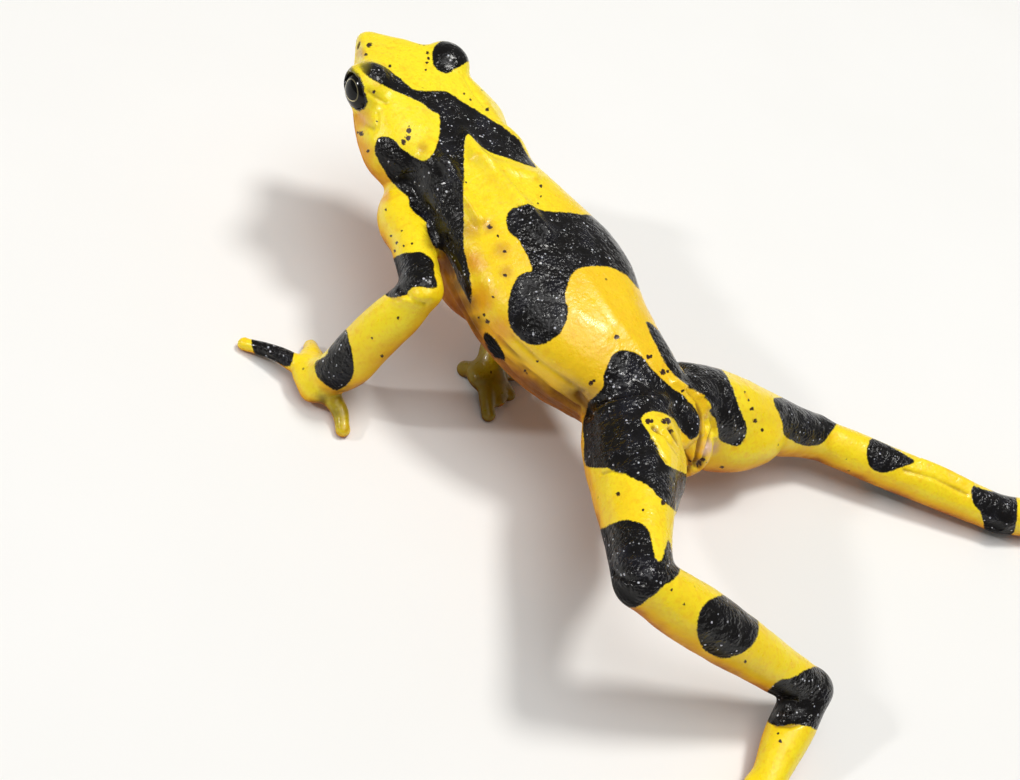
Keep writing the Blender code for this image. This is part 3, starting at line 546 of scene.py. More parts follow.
def between(rows, value):
    """Row of numbers read from a smooth curve through rows, whose first column is value."""
    k = max(i for i in range(len(rows) - 1) if rows[i][0] <= value or i == 0)
    p1, p2 = rows[k], rows[k + 1]
    p0 = rows[max(k - 1, 0)]
    p3 = rows[min(k + 2, len(rows) - 1)]
    f = (value - p1[0]) / (p2[0] - p1[0])
    return [catmull(a, b, c, d, f) for a, b, c, d in zip(p0, p1, p2, p3)]


def catmull(a, b, c, d, f):
    return 0.5 * ((2 * b) + (c - a) * f + (2 * a - 5 * b + 4 * c - d) * f * f
                  + (3 * b - a - 3 * c + d) * f ** 3)


def smooth_closed(points, count):
    """A closed curve of count points through the given ones."""
    made = []
    n = len(points)
    for i in range(count):
        t = i * n / count
        k = int(t)
        made.append(catmull(*(points[(k + j) % n] for j in (-1, 0, 1, 2)), t - k))
    return made


def spread(first, last, count):
    return [first + (last - first) * i / (count - 1) for i in range(count)]


def mesh_object(name, bm, collection):
    mesh = bpy.data.meshes.new(name)
    bm.to_mesh(mesh)
    bm.free()
    obj = bpy.data.objects.new(name, mesh)
    collection.objects.link(obj)
    return obj


def loft(name, rings, collection):
    """A closed body through rings of equal length, with a fan at each end."""
    bm = bmesh.new()
    rows = [[bm.verts.new(p * MM) for p in ring] for ring in rings]
    for row, after in zip(rows, rows[1:]):
        for i in range(len(row)):
            j = (i + 1) % len(row)
            bm.faces.new((row[i], row[j], after[j], after[i]))
    for row in (rows[0], rows[-1]):
        middle = bm.verts.new(sum((v.co for v in row), Vector()) / len(row))
        for i in range(len(row)):
            bm.faces.new((row[i], middle, row[(i + 1) % len(row)]))
    bmesh.ops.recalc_face_normals(bm, faces=bm.faces)
    return mesh_object(name, bm, collection)


def head_ring(along):
    _, crown, cw, cz, kw, kz, lw, lz, jw, jz, chin = between(HEAD_SECTIONS, along)
    brow = crown * CROWN_SHARES[0] + cz * CROWN_SHARES[1] + CROWN_RISE
    half = [(0.0, crown), (cw * MIDWAY, brow), (cw, cz), (kw, kz),
            (lw, lz), (jw, jz), (jw * MIDWAY, chin * CHIN_SHARE), (0.0, chin)]
    left = [on_body(along, x, z) for x, z in half]
    right = [on_body(along, -x, z) for x, z in half[-2:0:-1]]
    return smooth_closed(left + right, RING_POINTS)


def trunk_ring(along):
    _, half_width, top, bottom, bend = between(TRUNK_SECTIONS, along)
    ring = []
    for i in range(RING_POINTS):
        angle = 2 * math.pi * i / RING_POINTS
        c, s = math.cos(angle), math.sin(angle)
        power = TRUNK_POWERS[0] if s > 0 else TRUNK_POWERS[1]
        out = half_width * math.copysign(abs(c) ** power, c)
        rise = (top if s > 0 else bottom) * math.copysign(abs(s) ** power, s)
        ring.append(on_body(along, out + bend, rise))
    return ring


# Fineness of the primitives, and how near points of a curve's mesh are merged, in millimetres
BEVEL_STEPS = 4
CURVE_STEPS = 8
BALL_SEGMENTS = 32
CONE_SEGMENTS = 40
MERGE_DISTANCE = 0.002
EASE_FACTOR = 0.5


def limb(name, stations, collection):
    """A tapered round limb: a curve through the stations, each a place and a radius."""
    curve = bpy.data.curves.new(name, "CURVE")
    curve.dimensions = "3D"
    curve.bevel_depth = 1.0 * MM
    curve.bevel_resolution = BEVEL_STEPS
    curve.resolution_u = CURVE_STEPS
    curve.use_fill_caps = True
    spline = curve.splines.new("BEZIER")
    spline.radius_interpolation = "CARDINAL"
    spline.bezier_points.add(len(stations) - 1)
    for point, (place, radius) in zip(spline.bezier_points, stations):
        point.co = Vector(place) * MM
        point.radius = radius
        point.handle_left_type = "AUTO"
        point.handle_right_type = "AUTO"
    obj = bpy.data.objects.new(name, curve)
    collection.objects.link(obj)
    return obj


def ball(name, place, radii, collection, turn=(0, 0, 0)):
    """An ellipsoid at a place, with a radius along each of its own axes."""
    bm = bmesh.new()
    size = Matrix.Diagonal(Vector(radii) * MM).to_4x4()
    bmesh.ops.create_uvsphere(bm, u_segments=BALL_SEGMENTS, v_segments=BALL_SEGMENTS // 2, radius=1.0,
                              matrix=size)
    obj = mesh_object(name, bm, collection)
    obj.rotation_euler = [math.radians(a) for a in turn]
    obj.location = Vector(place) * MM
    return obj


def head_and_trunk(parts):
    loft("head", [head_ring(s) for s in spread(*HEAD_SPAN)], parts)
    loft("trunk", [trunk_ring(s) for s in spread(*TRUNK_SPAN)], parts)
    ball("snout", on_body(*SNOUT_PLACE), SNOUT_RADII, parts)
    for side in (1, -1):
        for place, radii in ((LID_PLACE, LID_RADII), (BROW_PLACE, BROW_RADII), (CHEEK_PLACE, CHEEK_RADII)):
            ball("face", on_side(place, side), radii, parts)
        along, out, up = SCAPULA_PLACE
        ball("scapula", on_body(along, out * side + SCAPULA_BEND, up), SCAPULA_RADII, parts)


def arm(side, places, girths, parts):
    """An arm down to the palm: places of shoulder, elbow, wrist and palm."""
    shoulder, elbow, wrist, palm = places
    upper = (on_side(ARM_ROOT, side), shoulder, shoulder.lerp(elbow, 0.5), elbow)
    limb("upper_arm", list(zip(upper, UPPER_ARM_RADII)), parts)
    ball("elbow", elbow, (ELBOW_RADIUS,) * 3, parts)
    lower = (elbow, *(elbow.lerp(wrist, share) for share in LOWER_SHARES), wrist, palm)
    limb("forearm", list(zip(lower, girths)), parts)


def leg(places, shank_girths, parts):
    hip, knee, heel, tarsus, sole = places
    thigh = (hip, *(hip.lerp(knee, share) for share in THIGH_SHARES), knee)
    limb("thigh", list(zip(thigh, THIGH_RADII)), parts)
    ball("knee", knee, (KNEE_RADIUS,) * 3, parts)
    shank = (knee, *(knee.lerp(heel, share) for share in LOWER_SHARES), heel)
    limb("shank", list(zip(shank, shank_girths)), parts)
    ball("heel", heel, HEEL_RADII, parts)
    limb("tarsus", list(zip((heel, tarsus, sole), TARSUS_RADII)), parts)
    turn = math.degrees(math.atan2(sole.y - tarsus.y, sole.x - tarsus.x))
    ball("sole", sole, SOLE_RADII, parts, (0, 0, turn))


def lid_rim(side, parts):
    """The thick edge of the lids, a ring round the opening of the eye."""
    centre = on_side(EYE_PLACE, side)
    turn = eye_axes(side)
    length = EYE_LENGTH + RIM_OUT
    height = EYE_HEIGHT + RIM_OUT
    ring = []
    for angle in spread(0, 2 * math.pi, 25)[:-1]:
        across = Vector((math.cos(angle) * length, math.sin(angle) * height, RIM_UP))
        ring.append((centre + turn @ across, RIM_RADIUS))
    limb("rim", ring, parts).data.splines[0].use_cyclic_u = True


def webs(tarsus, sole, inner, parts):
    """The thin web between the roots of the toes."""
    rows = toes(tarsus, sole, inner)
    for before, after in zip(rows, rows[1:]):
        middle = (before[0] + before[1] + after[0] + after[1]) / 4
        way = (before[1] + after[1] - before[0] - after[0]) / 2
        turn = math.degrees(math.atan2(way.y, way.x))
        ball("web", (middle.x, middle.y, WEB_UP), WEB_RADII, parts, (0, 0, turn))


def body_parts(parts):
    """Everything but the digits, as overlapping closed pieces."""
    head_and_trunk(parts)
    arm(1, LEFT_ARM, LEFT_FOREARM_RADII, parts)
    arm(-1, RIGHT_ARM, RIGHT_FOREARM_RADII, parts)
    leg(LEFT_LEG, LEFT_SHANK_RADII, parts)
    leg(RIGHT_LEG, RIGHT_SHANK_RADII, parts)
    for place, radii, turn in SWELLINGS:
        ball("swelling", place, radii, parts, (0, 0, turn))


def toes(tarsus, sole, inner):
    """Toes fanned from the sole, the inner one first: root, knuckle, tip and radii."""
    forward = sole - tarsus
    forward.z = 0
    forward.normalize()
    made = []
    for number, (length, turn) in enumerate(zip(TOE_LENGTHS, TOE_TURNS)):
        way = Matrix.Rotation(math.radians(turn * inner), 3, "Z") @ forward
        side = Vector((forward.y, -forward.x, 0)) * (TOE_SPACING * (number - 2) * inner)
        root = sole + side + forward * TOE_START
        knuckle = root + way * length * 0.5
        tip = root + way * length
        root.z, knuckle.z, tip.z = TOE_HEIGHTS
        made.append((root, knuckle, tip, TOE_RADIUS * TOE_TAPER[0], TOE_RADIUS * TOE_TAPER[1]))
    return made


def digits(parts):
    for side in (1, -1):
        lid_rim(side, parts)
    for foot in FEET:
        webs(*foot, parts)
    rows = [*LEFT_FINGERS, *RIGHT_FINGERS]
    for foot in FEET:
        rows += toes(*foot)
    for root, knuckle, tip, thick, thin in rows:
        limb("digit", [(root, thick), (knuckle, (thick + thin) / 2), (tip, thin)], parts)
        ball("digit_tip", tip, (thin * TIP_SHARE,) * 3, parts)


def as_mesh(obj):
    """The evaluated mesh of an object, in world space. The caps of a curve are joined to its sides."""
    bpy.context.view_layer.update()
    graph = bpy.context.evaluated_depsgraph_get()
    mesh = bpy.data.meshes.new_from_object(obj.evaluated_get(graph), depsgraph=graph)
    mesh.transform(obj.matrix_world)
    if obj.type == "CURVE":
        bm = bmesh.new()
        bm.from_mesh(mesh)
        bmesh.ops.remove_doubles(bm, verts=bm.verts, dist=MERGE_DISTANCE * MM)
        bm.to_mesh(mesh)
        bm.free()
    return mesh


def joined(name, objects, collection):
    """One object that holds the meshes of several, which are then removed."""
    bm = bmesh.new()
    for obj in objects:
        bm.from_mesh(as_mesh(obj))
        bpy.data.objects.remove(obj)
    return mesh_object(name, bm, collection)


def settle(obj):
    """Applies the modifiers of an object."""
    mesh = as_mesh(obj)
    obj.modifiers.clear()
    obj.matrix_world = Matrix.Identity(4)
    obj.data = mesh
    return obj


def fused(obj, voxel, smoothing):
    """Overlapping pieces made one skin, with the joins eased."""
    remesh = obj.modifiers.new("fuse", "REMESH")
    remesh.mode = "VOXEL"
    remesh.voxel_size = voxel * MM
    ease = obj.modifiers.new("ease", "SMOOTH")
    ease.factor = EASE_FACTOR
    ease.iterations = smoothing
    return settle(obj)


def cut(obj, cutter):
    boolean = obj.modifiers.new("cut", "BOOLEAN")
    boolean.operation = "DIFFERENCE"
    boolean.solver = "MANIFOLD"
    boolean.object = cutter
    settle(obj)
    bpy.data.objects.remove(cutter)
    return obj


def mouth_curve(skin_tree):
    """Places along the line of the mouth, laid on the skin."""
    left = []
    for along in MOUTH_STATIONS:
        lip_out, lip_up = between(HEAD_SECTIONS, along)[LIP_COLUMNS]
        left.append(on_body(along, lip_out * MOUTH_SHARE, lip_up - MOUTH_DROP - MOUTH_FALL * along))
    left[-1] += MOUTH_CORNER
    front = on_body(*MOUTH_FRONT)
    right = [Vector((-p.x, p.y, p.z)) for p in left]
    line = right[::-1] + [front] + left
    return [skin_tree.find_nearest(p * MM)[0] / MM for p in line]


def nostril_places():
    return [on_side(NOSTRIL_PLACE, side) for side in (1, -1)]


def eye_axes(side):
    """Rotation whose z is the gaze and whose x runs backward along the opening."""
    gaze = Vector((GAZE.x * side, GAZE.y, GAZE.z)).normalized()
    back, up = axis_frame()
    tilted = back * math.cos(math.radians(EYE_TILT)) - up * math.sin(math.radians(EYE_TILT))
    length = (tilted - gaze * tilted.dot(gaze)).normalized()
    height = gaze.cross(length)
    return Matrix((length, height, gaze)).transposed()


def lid_opening(side, collection):
    """An oval post along the gaze, from deep inside the head to far outside it."""
    centre = on_side(EYE_PLACE, side)
    bm = bmesh.new()
    bmesh.ops.create_cone(bm, cap_ends=True, segments=CONE_SEGMENTS, radius1=1.0, radius2=1.0, depth=1.0)
    radii = Vector((EYE_LENGTH + LID_MARGIN, EYE_HEIGHT + LID_MARGIN, LID_FAR + LID_DEEP))
    size = Matrix.Diagonal(radii)
    turn = eye_axes(side)
    middle = centre + turn @ Vector((0, 0, (LID_FAR - LID_DEEP) / 2))
    for vert in bm.verts:
        vert.co = (turn @ (size @ vert.co) + middle) * MM
    return mesh_object("opening", bm, collection)


def project(points):
    """Pixel places of points in the frog's frame, and how many pixels a millimetre is there."""
    rows = np.array((CAMERA_RIGHT, CAMERA_DOWN, CAMERA_FORWARD))
    seen = (points - np.array(CAMERA_PLACE)) @ rows.T
    scale = FOCAL_PIXELS / seen[:, 2]
    pixels = seen[:, :2] * scale[:, None] + np.array(PICTURE) / 2
    return pixels, scale


def smooth_step(values, low, high):
    t = np.clip((values - low) / (high - low), 0, 1)
    return t * t * (3 - 2 * t)


def line_distance(spots, line, closed=False):
    """Distance of each 2-D spot from a line of points, in the same unit."""
    best = np.full(len(spots), np.inf)
    ends = list(zip(line, line[1:])) + ([(line[-1], line[0])] if closed else [])
    for a, b in ends:
        a = np.array(a, float)
        way = np.array(b, float) - a
        t = np.clip((spots - a) @ way / (way @ way), 0, 1)
        best = np.minimum(best, np.hypot(*(spots - a - t[:, None] * way).T))
    return best


def inside_outline(spots, outline):
    inside = np.zeros(len(spots), bool)
    x, y = spots.T
    for (x0, y0), (x1, y1) in zip(outline, outline[1:] + outline[:1]):
        if y0 != y1:
            inside ^= ((y0 > y) != (y1 > y)) & (x < x0 + (y - y0) * (x1 - x0) / (y1 - y0))
    return inside


def outline_depth(spots, outline):
    """How deep each spot is inside a smooth closed outline: negative outside."""
    places = [Vector(p) for p in outline]
    line = [tuple(p) for p in smooth_closed(places, len(places) * 3)]
    depth = line_distance(spots, line, closed=True)
    return np.where(inside_outline(spots, line), depth, -depth)


def body_coordinates(points):
    """Along, out and up of points from the body axis."""
    back, up = axis_frame()
    local = points - np.array(SNOUT)
    return local @ np.array(back), local[:, 0], local @ np.array(up)


def chain_distance(points, chain):
    """Distance from a chain of places, in radii of the limb there."""
    best = np.full(len(points), np.inf)
    for (a, ra), (b, rb) in zip(chain, chain[1:]):
        a = np.array(a)
        way = np.array(b) - a
        t = np.clip((points - a) @ way / (way @ way), 0, 1)
        gap = np.linalg.norm(points - a - t[:, None] * way, axis=1)
        best = np.minimum(best, gap / (ra + (rb - ra) * t))
    return best


def digit_distance(points, rows):
    return np.min([chain_distance(points, ((root, thick), (knuckle, thin), (tip, thin)))
                   for root, knuckle, tip, thick, thin in rows], axis=0)


def limb_regions():
    """Each limb's chain of places and radii, and its digits."""
    made = {}
    for name, places, fingers in (
        ("left_arm", LEFT_ARM, LEFT_FINGERS),
        ("right_arm", RIGHT_ARM, RIGHT_FINGERS),
    ):
        made[name] = (list(zip(places, ARM_REACH)), fingers)
    for name, (hip, knee, *rest), foot in zip(("left_leg", "right_leg"), (LEFT_LEG, RIGHT_LEG), FEET):
        places = (hip, hip.lerp(knee, THIGH_FULL), knee, *rest)
        made[name] = (list(zip(places, LEG_REACH)), toes(*foot))
    return made


def regions(points):
    """A mask for each region, by the nearest part of the body, and how near a join each point is."""
    along, out, up = body_coordinates(points)
    trunk = [(a, w, bend, top, bottom) for a, w, top, bottom, bend in TRUNK_SECTIONS if a > HEAD_END]
    girth = np.array([*HEAD_GIRTHS, *trunk])
    half, bend, top, bottom = (np.interp(along, girth[:, 0], girth[:, k]) for k in range(1, 5))
    rise = np.where(up > 0, up / top, up / bottom)
    past = np.maximum(0, along - BODY_LENGTH) + np.maximum(0, -along)
    nearness = {"body": np.hypot((out - bend) / half, rise) + past / END_RADIUS}
    for name, (chain, rows) in limb_regions().items():
        nearness[name] = np.minimum(chain_distance(points, chain), digit_distance(points, rows))
    table = np.array(list(nearness.values()))
    nearest = np.argmin(table, axis=0)
    first, second = np.sort(table, axis=0)[:2]
    join = 1 - smooth_step(second - first, *JOIN_RANGE)
    return {name: nearest == k for k, name in enumerate(nearness)}, join


def near_box(pixels, line, margin):
    """Which pixel places are inside the box round a line, made wider by a margin."""
    low = np.min(line, axis=0) - margin
    high = np.max(line, axis=0) + margin
    return ((pixels > low) & (pixels < high)).all(axis=1)


def black_depth(points, normals, region):
    """Depth inside the black markings, in millimetres: positive in black, negative in yellow."""
    pixels, scale = project(points)
    near = smooth_step(facing_camera(points, normals), *MARKING_FACING)
    seen, wrapped, hidden = (np.full(len(points), -DEPTH_LIMIT) for _ in range(3))
    for outline, names, wraps in MARKINGS:
        there = np.any([region[n] for n in names], axis=0) & near_box(pixels, outline, OUTLINE_MARGIN)
        depth = outline_depth(pixels[there], outline) / scale[there]
        target = wrapped if wraps else seen
        target[there] = np.maximum(target[there], depth)
    for centre, radii, name in FAR_BLOTCHES:
        there = region[name]
        share = np.linalg.norm((points[there] - np.array(centre)) / np.array(radii), axis=1)
        hidden[there] = np.maximum(hidden[there], (1 - share) * np.mean(radii))
    depth = near * seen + (1 - near) * hidden
    depth = np.maximum(np.maximum(depth, wrapped), lid_black(points))
    return np.clip(depth, -DEPTH_LIMIT, DEPTH_LIMIT)


def lid_black(points):
    """Depth inside the black rims of the lids, in millimetres."""
    depth = np.full(len(points), -DEPTH_LIMIT)
    for side in (1, -1):
        local = (points - np.array(on_side(EYE_PLACE, side))) @ np.array(eye_axes(side))
        wide = np.hypot(local[:, 0] / (EYE_LENGTH + LID_BLACK), local[:, 1] / (EYE_HEIGHT + LID_BLACK))
        there = (local[:, 2] > LID_FRONT) & (wide < 2)
        depth[there] = np.maximum(depth[there], (1 - wide[there]) * EYE_HEIGHT)
    return depth


def lattice_noise(points, size, seed):
    """Smooth noise from -1 to 1 whose cells are size millimetres across, the same in each run."""
    place = points / np.array(size)
    cell = np.floor(place).astype(np.int64)
    part = place - cell
    fade = part * part * (3 - 2 * part)
    total = np.zeros(len(points))
    for corner in np.ndindex(2, 2, 2):
        key = ((cell + np.array(corner)) * np.array(CELL_STEPS)).sum(axis=1) + seed * SEED_STEP
        key = ((key ^ (key >> 13)) * SCRAMBLE) & 0x7FFFFFFF
        value = ((key >> 8) & 0xFFFF) / 32767.5 - 1
        total += value * np.where(np.array(corner, bool), fade, 1 - fade).prod(axis=1)
    return total


def facing_camera(points, normals):
    to_camera = np.array(CAMERA_PLACE) - points
    to_camera /= np.linalg.norm(to_camera, axis=1)[:, None]
    return (normals * to_camera).sum(axis=1)


def drawn_relief(points, facing):
    """Height of the ridges and creases drawn in the picture, on the side that it shows."""
    pixels, scale = project(points)
    height = np.zeros(len(points))
    for line, half_width, rise in RELIEF:
        near = (facing > RELIEF_FACING[0]) & near_box(pixels, line, half_width * RELIEF_MARGIN)
        gap = line_distance(pixels[near], line) / scale[near]
        shown = smooth_step(facing[near], *RELIEF_FACING)
        height[near] += rise * np.exp(-(gap / half_width) ** 2) * shown
    return height


def body_relief(points, region, join):
    """Height of the ridge of the spine, the folds near the joints and the unevenness of the skin."""
    along, out, up = body_coordinates(points)
    bend = np.interp(along, [row[0] for row in TRUNK_SECTIONS], [row[4] for row in TRUNK_SECTIONS])
    spine = np.exp(-((out - bend) / SPINE_WIDTH) ** 2) * (up > 1) * region["body"]
    height = SPINE_HEIGHT * spine * smooth_step(along, *SPINE_START) * (1 - smooth_step(along, *SPINE_END))
    height += sum(rise * lattice_noise(points, size, seed) for rise, size, seed in SOFT_RELIEF)
    rise, size, seed = JOIN_RELIEF
    height += join * rise * lattice_noise(points, size, seed)
    flank = region["body"] * smooth_step(-up, *FLANK_DROP) * smooth_step(along, *FLANK_SPAN)
    slanted = np.stack((along, out, up + FLANK_SLANT * along), axis=1)
    rise, size, seed = FLANK_RELIEF
    height += flank * rise * lattice_noise(slanted, size, seed)
    return height


def drawn_spots(points, facing, spots):
    """How far inside the nearest of some round spots each point is, 1 at its middle."""
    pixels, _ = project(points)
    depth = np.zeros(len(points))
    seen = facing > SPOT_FACING
    for x, y, radius in spots:
        reach = radius * 2
        near = seen & (np.abs(pixels[:, 0] - x) < reach) & (np.abs(pixels[:, 1] - y) < reach)
        gap = np.hypot(pixels[near, 0] - x, pixels[near, 1] - y)
        depth[near] = np.maximum(depth[near], 1 - gap / reach)
    return depth


def points_of(mesh):
    """Vertex places in millimetres, and vertex normals."""
    points = np.empty(len(mesh.vertices) * 3, np.float32)
    mesh.vertices.foreach_get("co", points)
    normals = np.empty(len(mesh.vertices) * 3, np.float32)
    mesh.vertex_normals.foreach_get("vector", normals)
    return points.reshape(-1, 3).astype(float) / MM, normals.reshape(-1, 3).astype(float)


def set_points(mesh, points):
    mesh.vertices.foreach_set("co", (points * MM).astype(np.float32).ravel())
    mesh.update()


def store(mesh, name, values):
    attribute = mesh.attributes.new(name, "FLOAT", "POINT")
    attribute.data.foreach_set("value", np.asarray(values, np.float32))


def skin_openings(body, collection):
    """Cutters for the mouth, the nostrils and the openings of the lids."""
    mesh = body.data
    tree = BVHTree.FromPolygons([v.co for v in mesh.vertices], [p.vertices for p in mesh.polygons])
    MOUTH_LINE.extend(mouth_curve(tree))
    limb("mouth", [(p, MOUTH_RADIUS) for p in MOUTH_LINE], collection)
    NOSTRIL_SEATS.extend(tree.find_nearest(place * MM)[0] / MM for place in nostril_places())
    for seat in NOSTRIL_SEATS:
        ball("nostril", seat, NOSTRIL_RADII, collection)
    for side in (1, -1):
        lid_opening(side, collection)


def skin():
    """The whole skin in one piece, in the frog's frame."""
    work = bpy.data.collections.new("work")
    bpy.context.scene.collection.children.link(work)
    body_parts(work)
    body = fused(joined("body", list(work.objects), work), COARSE_VOXEL, COARSE_EASE)
    digits(work)
    body = fused(joined("body", list(work.objects), work), FINE_VOXEL, FINE_EASE)
    tools = bpy.data.collections.new("tools")
    bpy.context.scene.collection.children.link(tools)
    skin_openings(body, tools)
    cut(body, joined("cutter", list(tools.objects), tools))
    body = fused(body, SKIN_VOXEL, SKIN_EASE)
    body.name = "skin"
    body.data.name = "skin"
    return body


def flatten_soles(points):
    """Nothing reaches below the floor."""
    points[:, 2] = np.maximum(points[:, 2], 0.0)
    return points


def lip_distance(points, along):
    """Distance of points from the line of the mouth and from the painted shade round the nostrils."""
    head = along < LIP_HEAD
    lips = np.full(len(points), LIP_CLEAR)
    line = [(p, 1.0) for p in MOUTH_LINE]
    fade = LIP_FADE * smooth_step(along[head], *LIP_FADE_SPAN)
    lips[head] = chain_distance(points[head], line) + fade
    for seat in NOSTRIL_SEATS:
        gap = np.linalg.norm(points[head] - np.array(seat), axis=1) - NOSTRIL_SHADE_REACH
        lips[head] = np.minimum(lips[head], gap)
    return lips


def dress(body):
    """Gives the skin its relief and the maps that its material reads."""
    mesh = body.data
    points, normals = points_of(mesh)
    facing = facing_camera(points, normals)
    region, join = regions(points)
    trunk = region["body"]
    store(mesh, "black", black_depth(points, normals, region))
    along, out, up = body_coordinates(points)
    # Lower down the tints are partly the skin's own orange and partly painted shade
    low = smooth_step(-up, *BODY_LOW) * trunk + smooth_step(-normals[:, 2], *LIMB_LOW) * ~trunk
    store(mesh, "low", low)
    store(mesh, "rear", smooth_step(along, *REAR_SPAN) * trunk + LIMB_REAR * ~trunk)
    # Painted shade: olive on the right hand under the body, and at the listed places
    hand = region["right_arm"] * smooth_step(-points[:, 2], *HAND_SHADE_DROP)
    store(mesh, "olive", np.maximum(hand, OLIVE_SHARE * drawn_spots(points, facing, OLIVE_SHADE_AND_DUST_PLACES)))
    store(mesh, "speck", drawn_spots(points, facing, SPECKS))
    # Stains, and painted shade on the cheek, in the armpit and low on the flank
    for tint in ("tan", "amber", "umber_shade", "pink"):
        store(mesh, tint, drawn_spots(points, facing, [s[:3] for s in STAINS_AND_SHADE if s[3] == tint]))
    pixels, _ = project(points)
    gap = np.hypot(*(pixels - np.array(STRIPE_FRONT)).T)
    store(mesh, "thin", (1 - smooth_step(gap, *STRIPE_REACH)) * (facing > 0) * trunk)
    lips = lip_distance(points, along)
    store(mesh, "lips", lips)
    height = drawn_relief(points, facing) + body_relief(points, region, join)
    # Creases are darkened with painted shade
    store(mesh, "crease_shade", np.clip(-height / CREASE_SHADE_DEPTH, 0, 1))
    soles = smooth_step(SOLE_TOP - points[:, 2], 0.0, 1.0)
    height *= smooth_step(lips, *LIP_CALM) * (1 - SOLE_CALM * soles)
    set_points(mesh, flatten_soles(points + normals * height[:, None]))
    mesh.shade_smooth()


def onto_model(objects, lead):
    """Moves the pieces so that the lead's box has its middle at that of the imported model."""
    points, _ = points_of(lead.data)
    middle = (points.min(0) + points.max(0)) / 2
    wanted = (np.array(CAD_BOX[0]) + np.array(CAD_BOX[1])) / 2 / MM
    shift = Vector((wanted[0] - middle[0], wanted[1] - middle[1], 0)) * MM
    for obj in objects:
        obj.data.transform(Matrix.Translation(shift))
    return shift


def eye_piece(name, side):
    """One eye: a rounded cap whose rings run round the pupil, closed behind."""
    centre = on_side(EYE_PLACE, side)
    turn = eye_axes(side)
    bm = bmesh.new()
    rows = []
    for k in range(1, EYE_RINGS + 1):
        share = k / EYE_RINGS
        row = []
        for i in range(EYE_STEPS):
            angle = 2 * math.pi * i / EYE_STEPS
            x = math.cos(angle) * (EYE_LENGTH + EYE_MARGIN) * share
            y = math.sin(angle) * (EYE_HEIGHT + EYE_MARGIN) * share
            z = math.sqrt(max(EYE_RADIUS ** 2 - x * x - y * y, 0.01))
            row.append(bm.verts.new((centre + turn @ Vector((x, y, z))) * MM))
        rows.append(row)
    tip = bm.verts.new((centre + turn @ Vector((0, 0, EYE_RADIUS))) * MM)
    back = bm.verts.new((centre + turn @ Vector((0, 0, EYE_BACK))) * MM)
    for i in range(EYE_STEPS):
        j = (i + 1) % EYE_STEPS
        bm.faces.new((tip, rows[0][i], rows[0][j]))
        bm.faces.new((back, rows[-1][j], rows[-1][i]))
        for row, after in zip(rows, rows[1:]):
            bm.faces.new((row[i], after[i], after[j], row[j]))
    bmesh.ops.recalc_face_normals(bm, faces=bm.faces)
    obj = mesh_object(name, bm, bpy.context.scene.collection)
    obj.data.shade_smooth()
    points, _ = points_of(obj.data)
    local = (points - np.array(centre)) @ np.array(turn)
    store(obj.data, "across", local[:, 0])
    store(obj.data, "height", local[:, 1])
    return obj


class Shader:
    """A short way to write a material's nodes."""

    def __init__(self, name):
        self.material = bpy.data.materials.new(name)
        self.material.use_nodes = True
        self.tree = self.material.node_tree
        self.principled = self.tree.nodes["Principled BSDF"]

    def node(self, kind, **inputs):
        made = self.tree.nodes.new("ShaderNode" + kind)
        for name, value in inputs.items():
            self.set(made.inputs[name], value)
        return made

    def set(self, socket, value):
        if isinstance(value, bpy.types.NodeSocket):
            self.tree.links.new(value, socket)
        else:
            socket.default_value = value

    def math(self, operation, *values):
        made = self.tree.nodes.new("ShaderNodeMath")
        made.operation = operation
        for socket, value in zip(made.inputs, values):
            self.set(socket, value)
        return made.outputs[0]

    def times(self, a, b):
        return self.math("MULTIPLY", a, b)

    def plus(self, a, b):
        return self.math("ADD", a, b)

    def minus(self, a, b):
        return self.math("SUBTRACT", a, b)

    def mix(self, factor, a, b):
        made = self.tree.nodes.new("ShaderNodeMix")
        made.data_type = "RGBA"
        self.set(made.inputs["Factor"], factor)
        self.set(made.inputs[6], a)
        self.set(made.inputs[7], b)
        return made.outputs[2]

    def attribute(self, name):
        made = self.tree.nodes.new("ShaderNodeAttribute")
        made.attribute_name = name
        return made.outputs["Fac"]

    def noise(self, scale, detail=3.0, roughness=0.55):
        """Noise whose cells are about scale millimetres across."""
        where = self.tree.nodes.new("ShaderNodeTexCoord").outputs["Object"]
        return self.node("TexNoise", Vector=where, Scale=METRE / scale, Detail=detail,
                         Roughness=roughness).outputs["Fac"]

    def cells(self, scale):
        """Distance from the middles of cells about scale millimetres across."""
        where = self.tree.nodes.new("ShaderNodeTexCoord").outputs["Object"]
        return self.node("TexVoronoi", Vector=where, Scale=METRE / scale).outputs["Distance"]

    def ramp(self, value, low, high):
        """0 below low, 1 above high."""
        made = self.tree.nodes.new("ShaderNodeMapRange")
        made.interpolation_type = "SMOOTHSTEP"
        self.set(made.inputs["Value"], value)
        made.inputs["From Min"].default_value = low
        made.inputs["From Max"].default_value = high
        return made.outputs["Result"]

    def bump(self, height, distance, strength, under=None):
        made = self.node("Bump", Height=height, Distance=distance * MM, Strength=strength)
        if under is not None:
            self.set(made.inputs["Normal"], under)
        return made.outputs["Normal"]


def colour(red, green, blue):
    """A colour given as it looks on a screen, 0 to 255, as a linear value."""
    def linear(value):
        value /= 255
        return value / 12.92 if value <= 0.04045 else ((value + 0.055) / 1.055) ** 2.4
    return (linear(red), linear(green), linear(blue), 1.0)


YELLOW = colour(254, 221, 24)
LEMON = colour(255, 233, 34)
GOLD = colour(243, 188, 20)
ORANGE = colour(196, 104, 8)
# Painted shade on the hands, and the tint of a dusty band on the nape
OLIVE = colour(66, 52, 8)
BROWN = colour(52, 24, 6)
TAN = colour(206, 152, 40)
AMBER = colour(232, 160, 22)
# Painted shade: low on the flank, in creases, in the armpit and behind the arm
SHADE_UMBER = colour(110, 62, 10)
PINK = colour(222, 186, 168)
BLACK = colour(10, 8, 8)
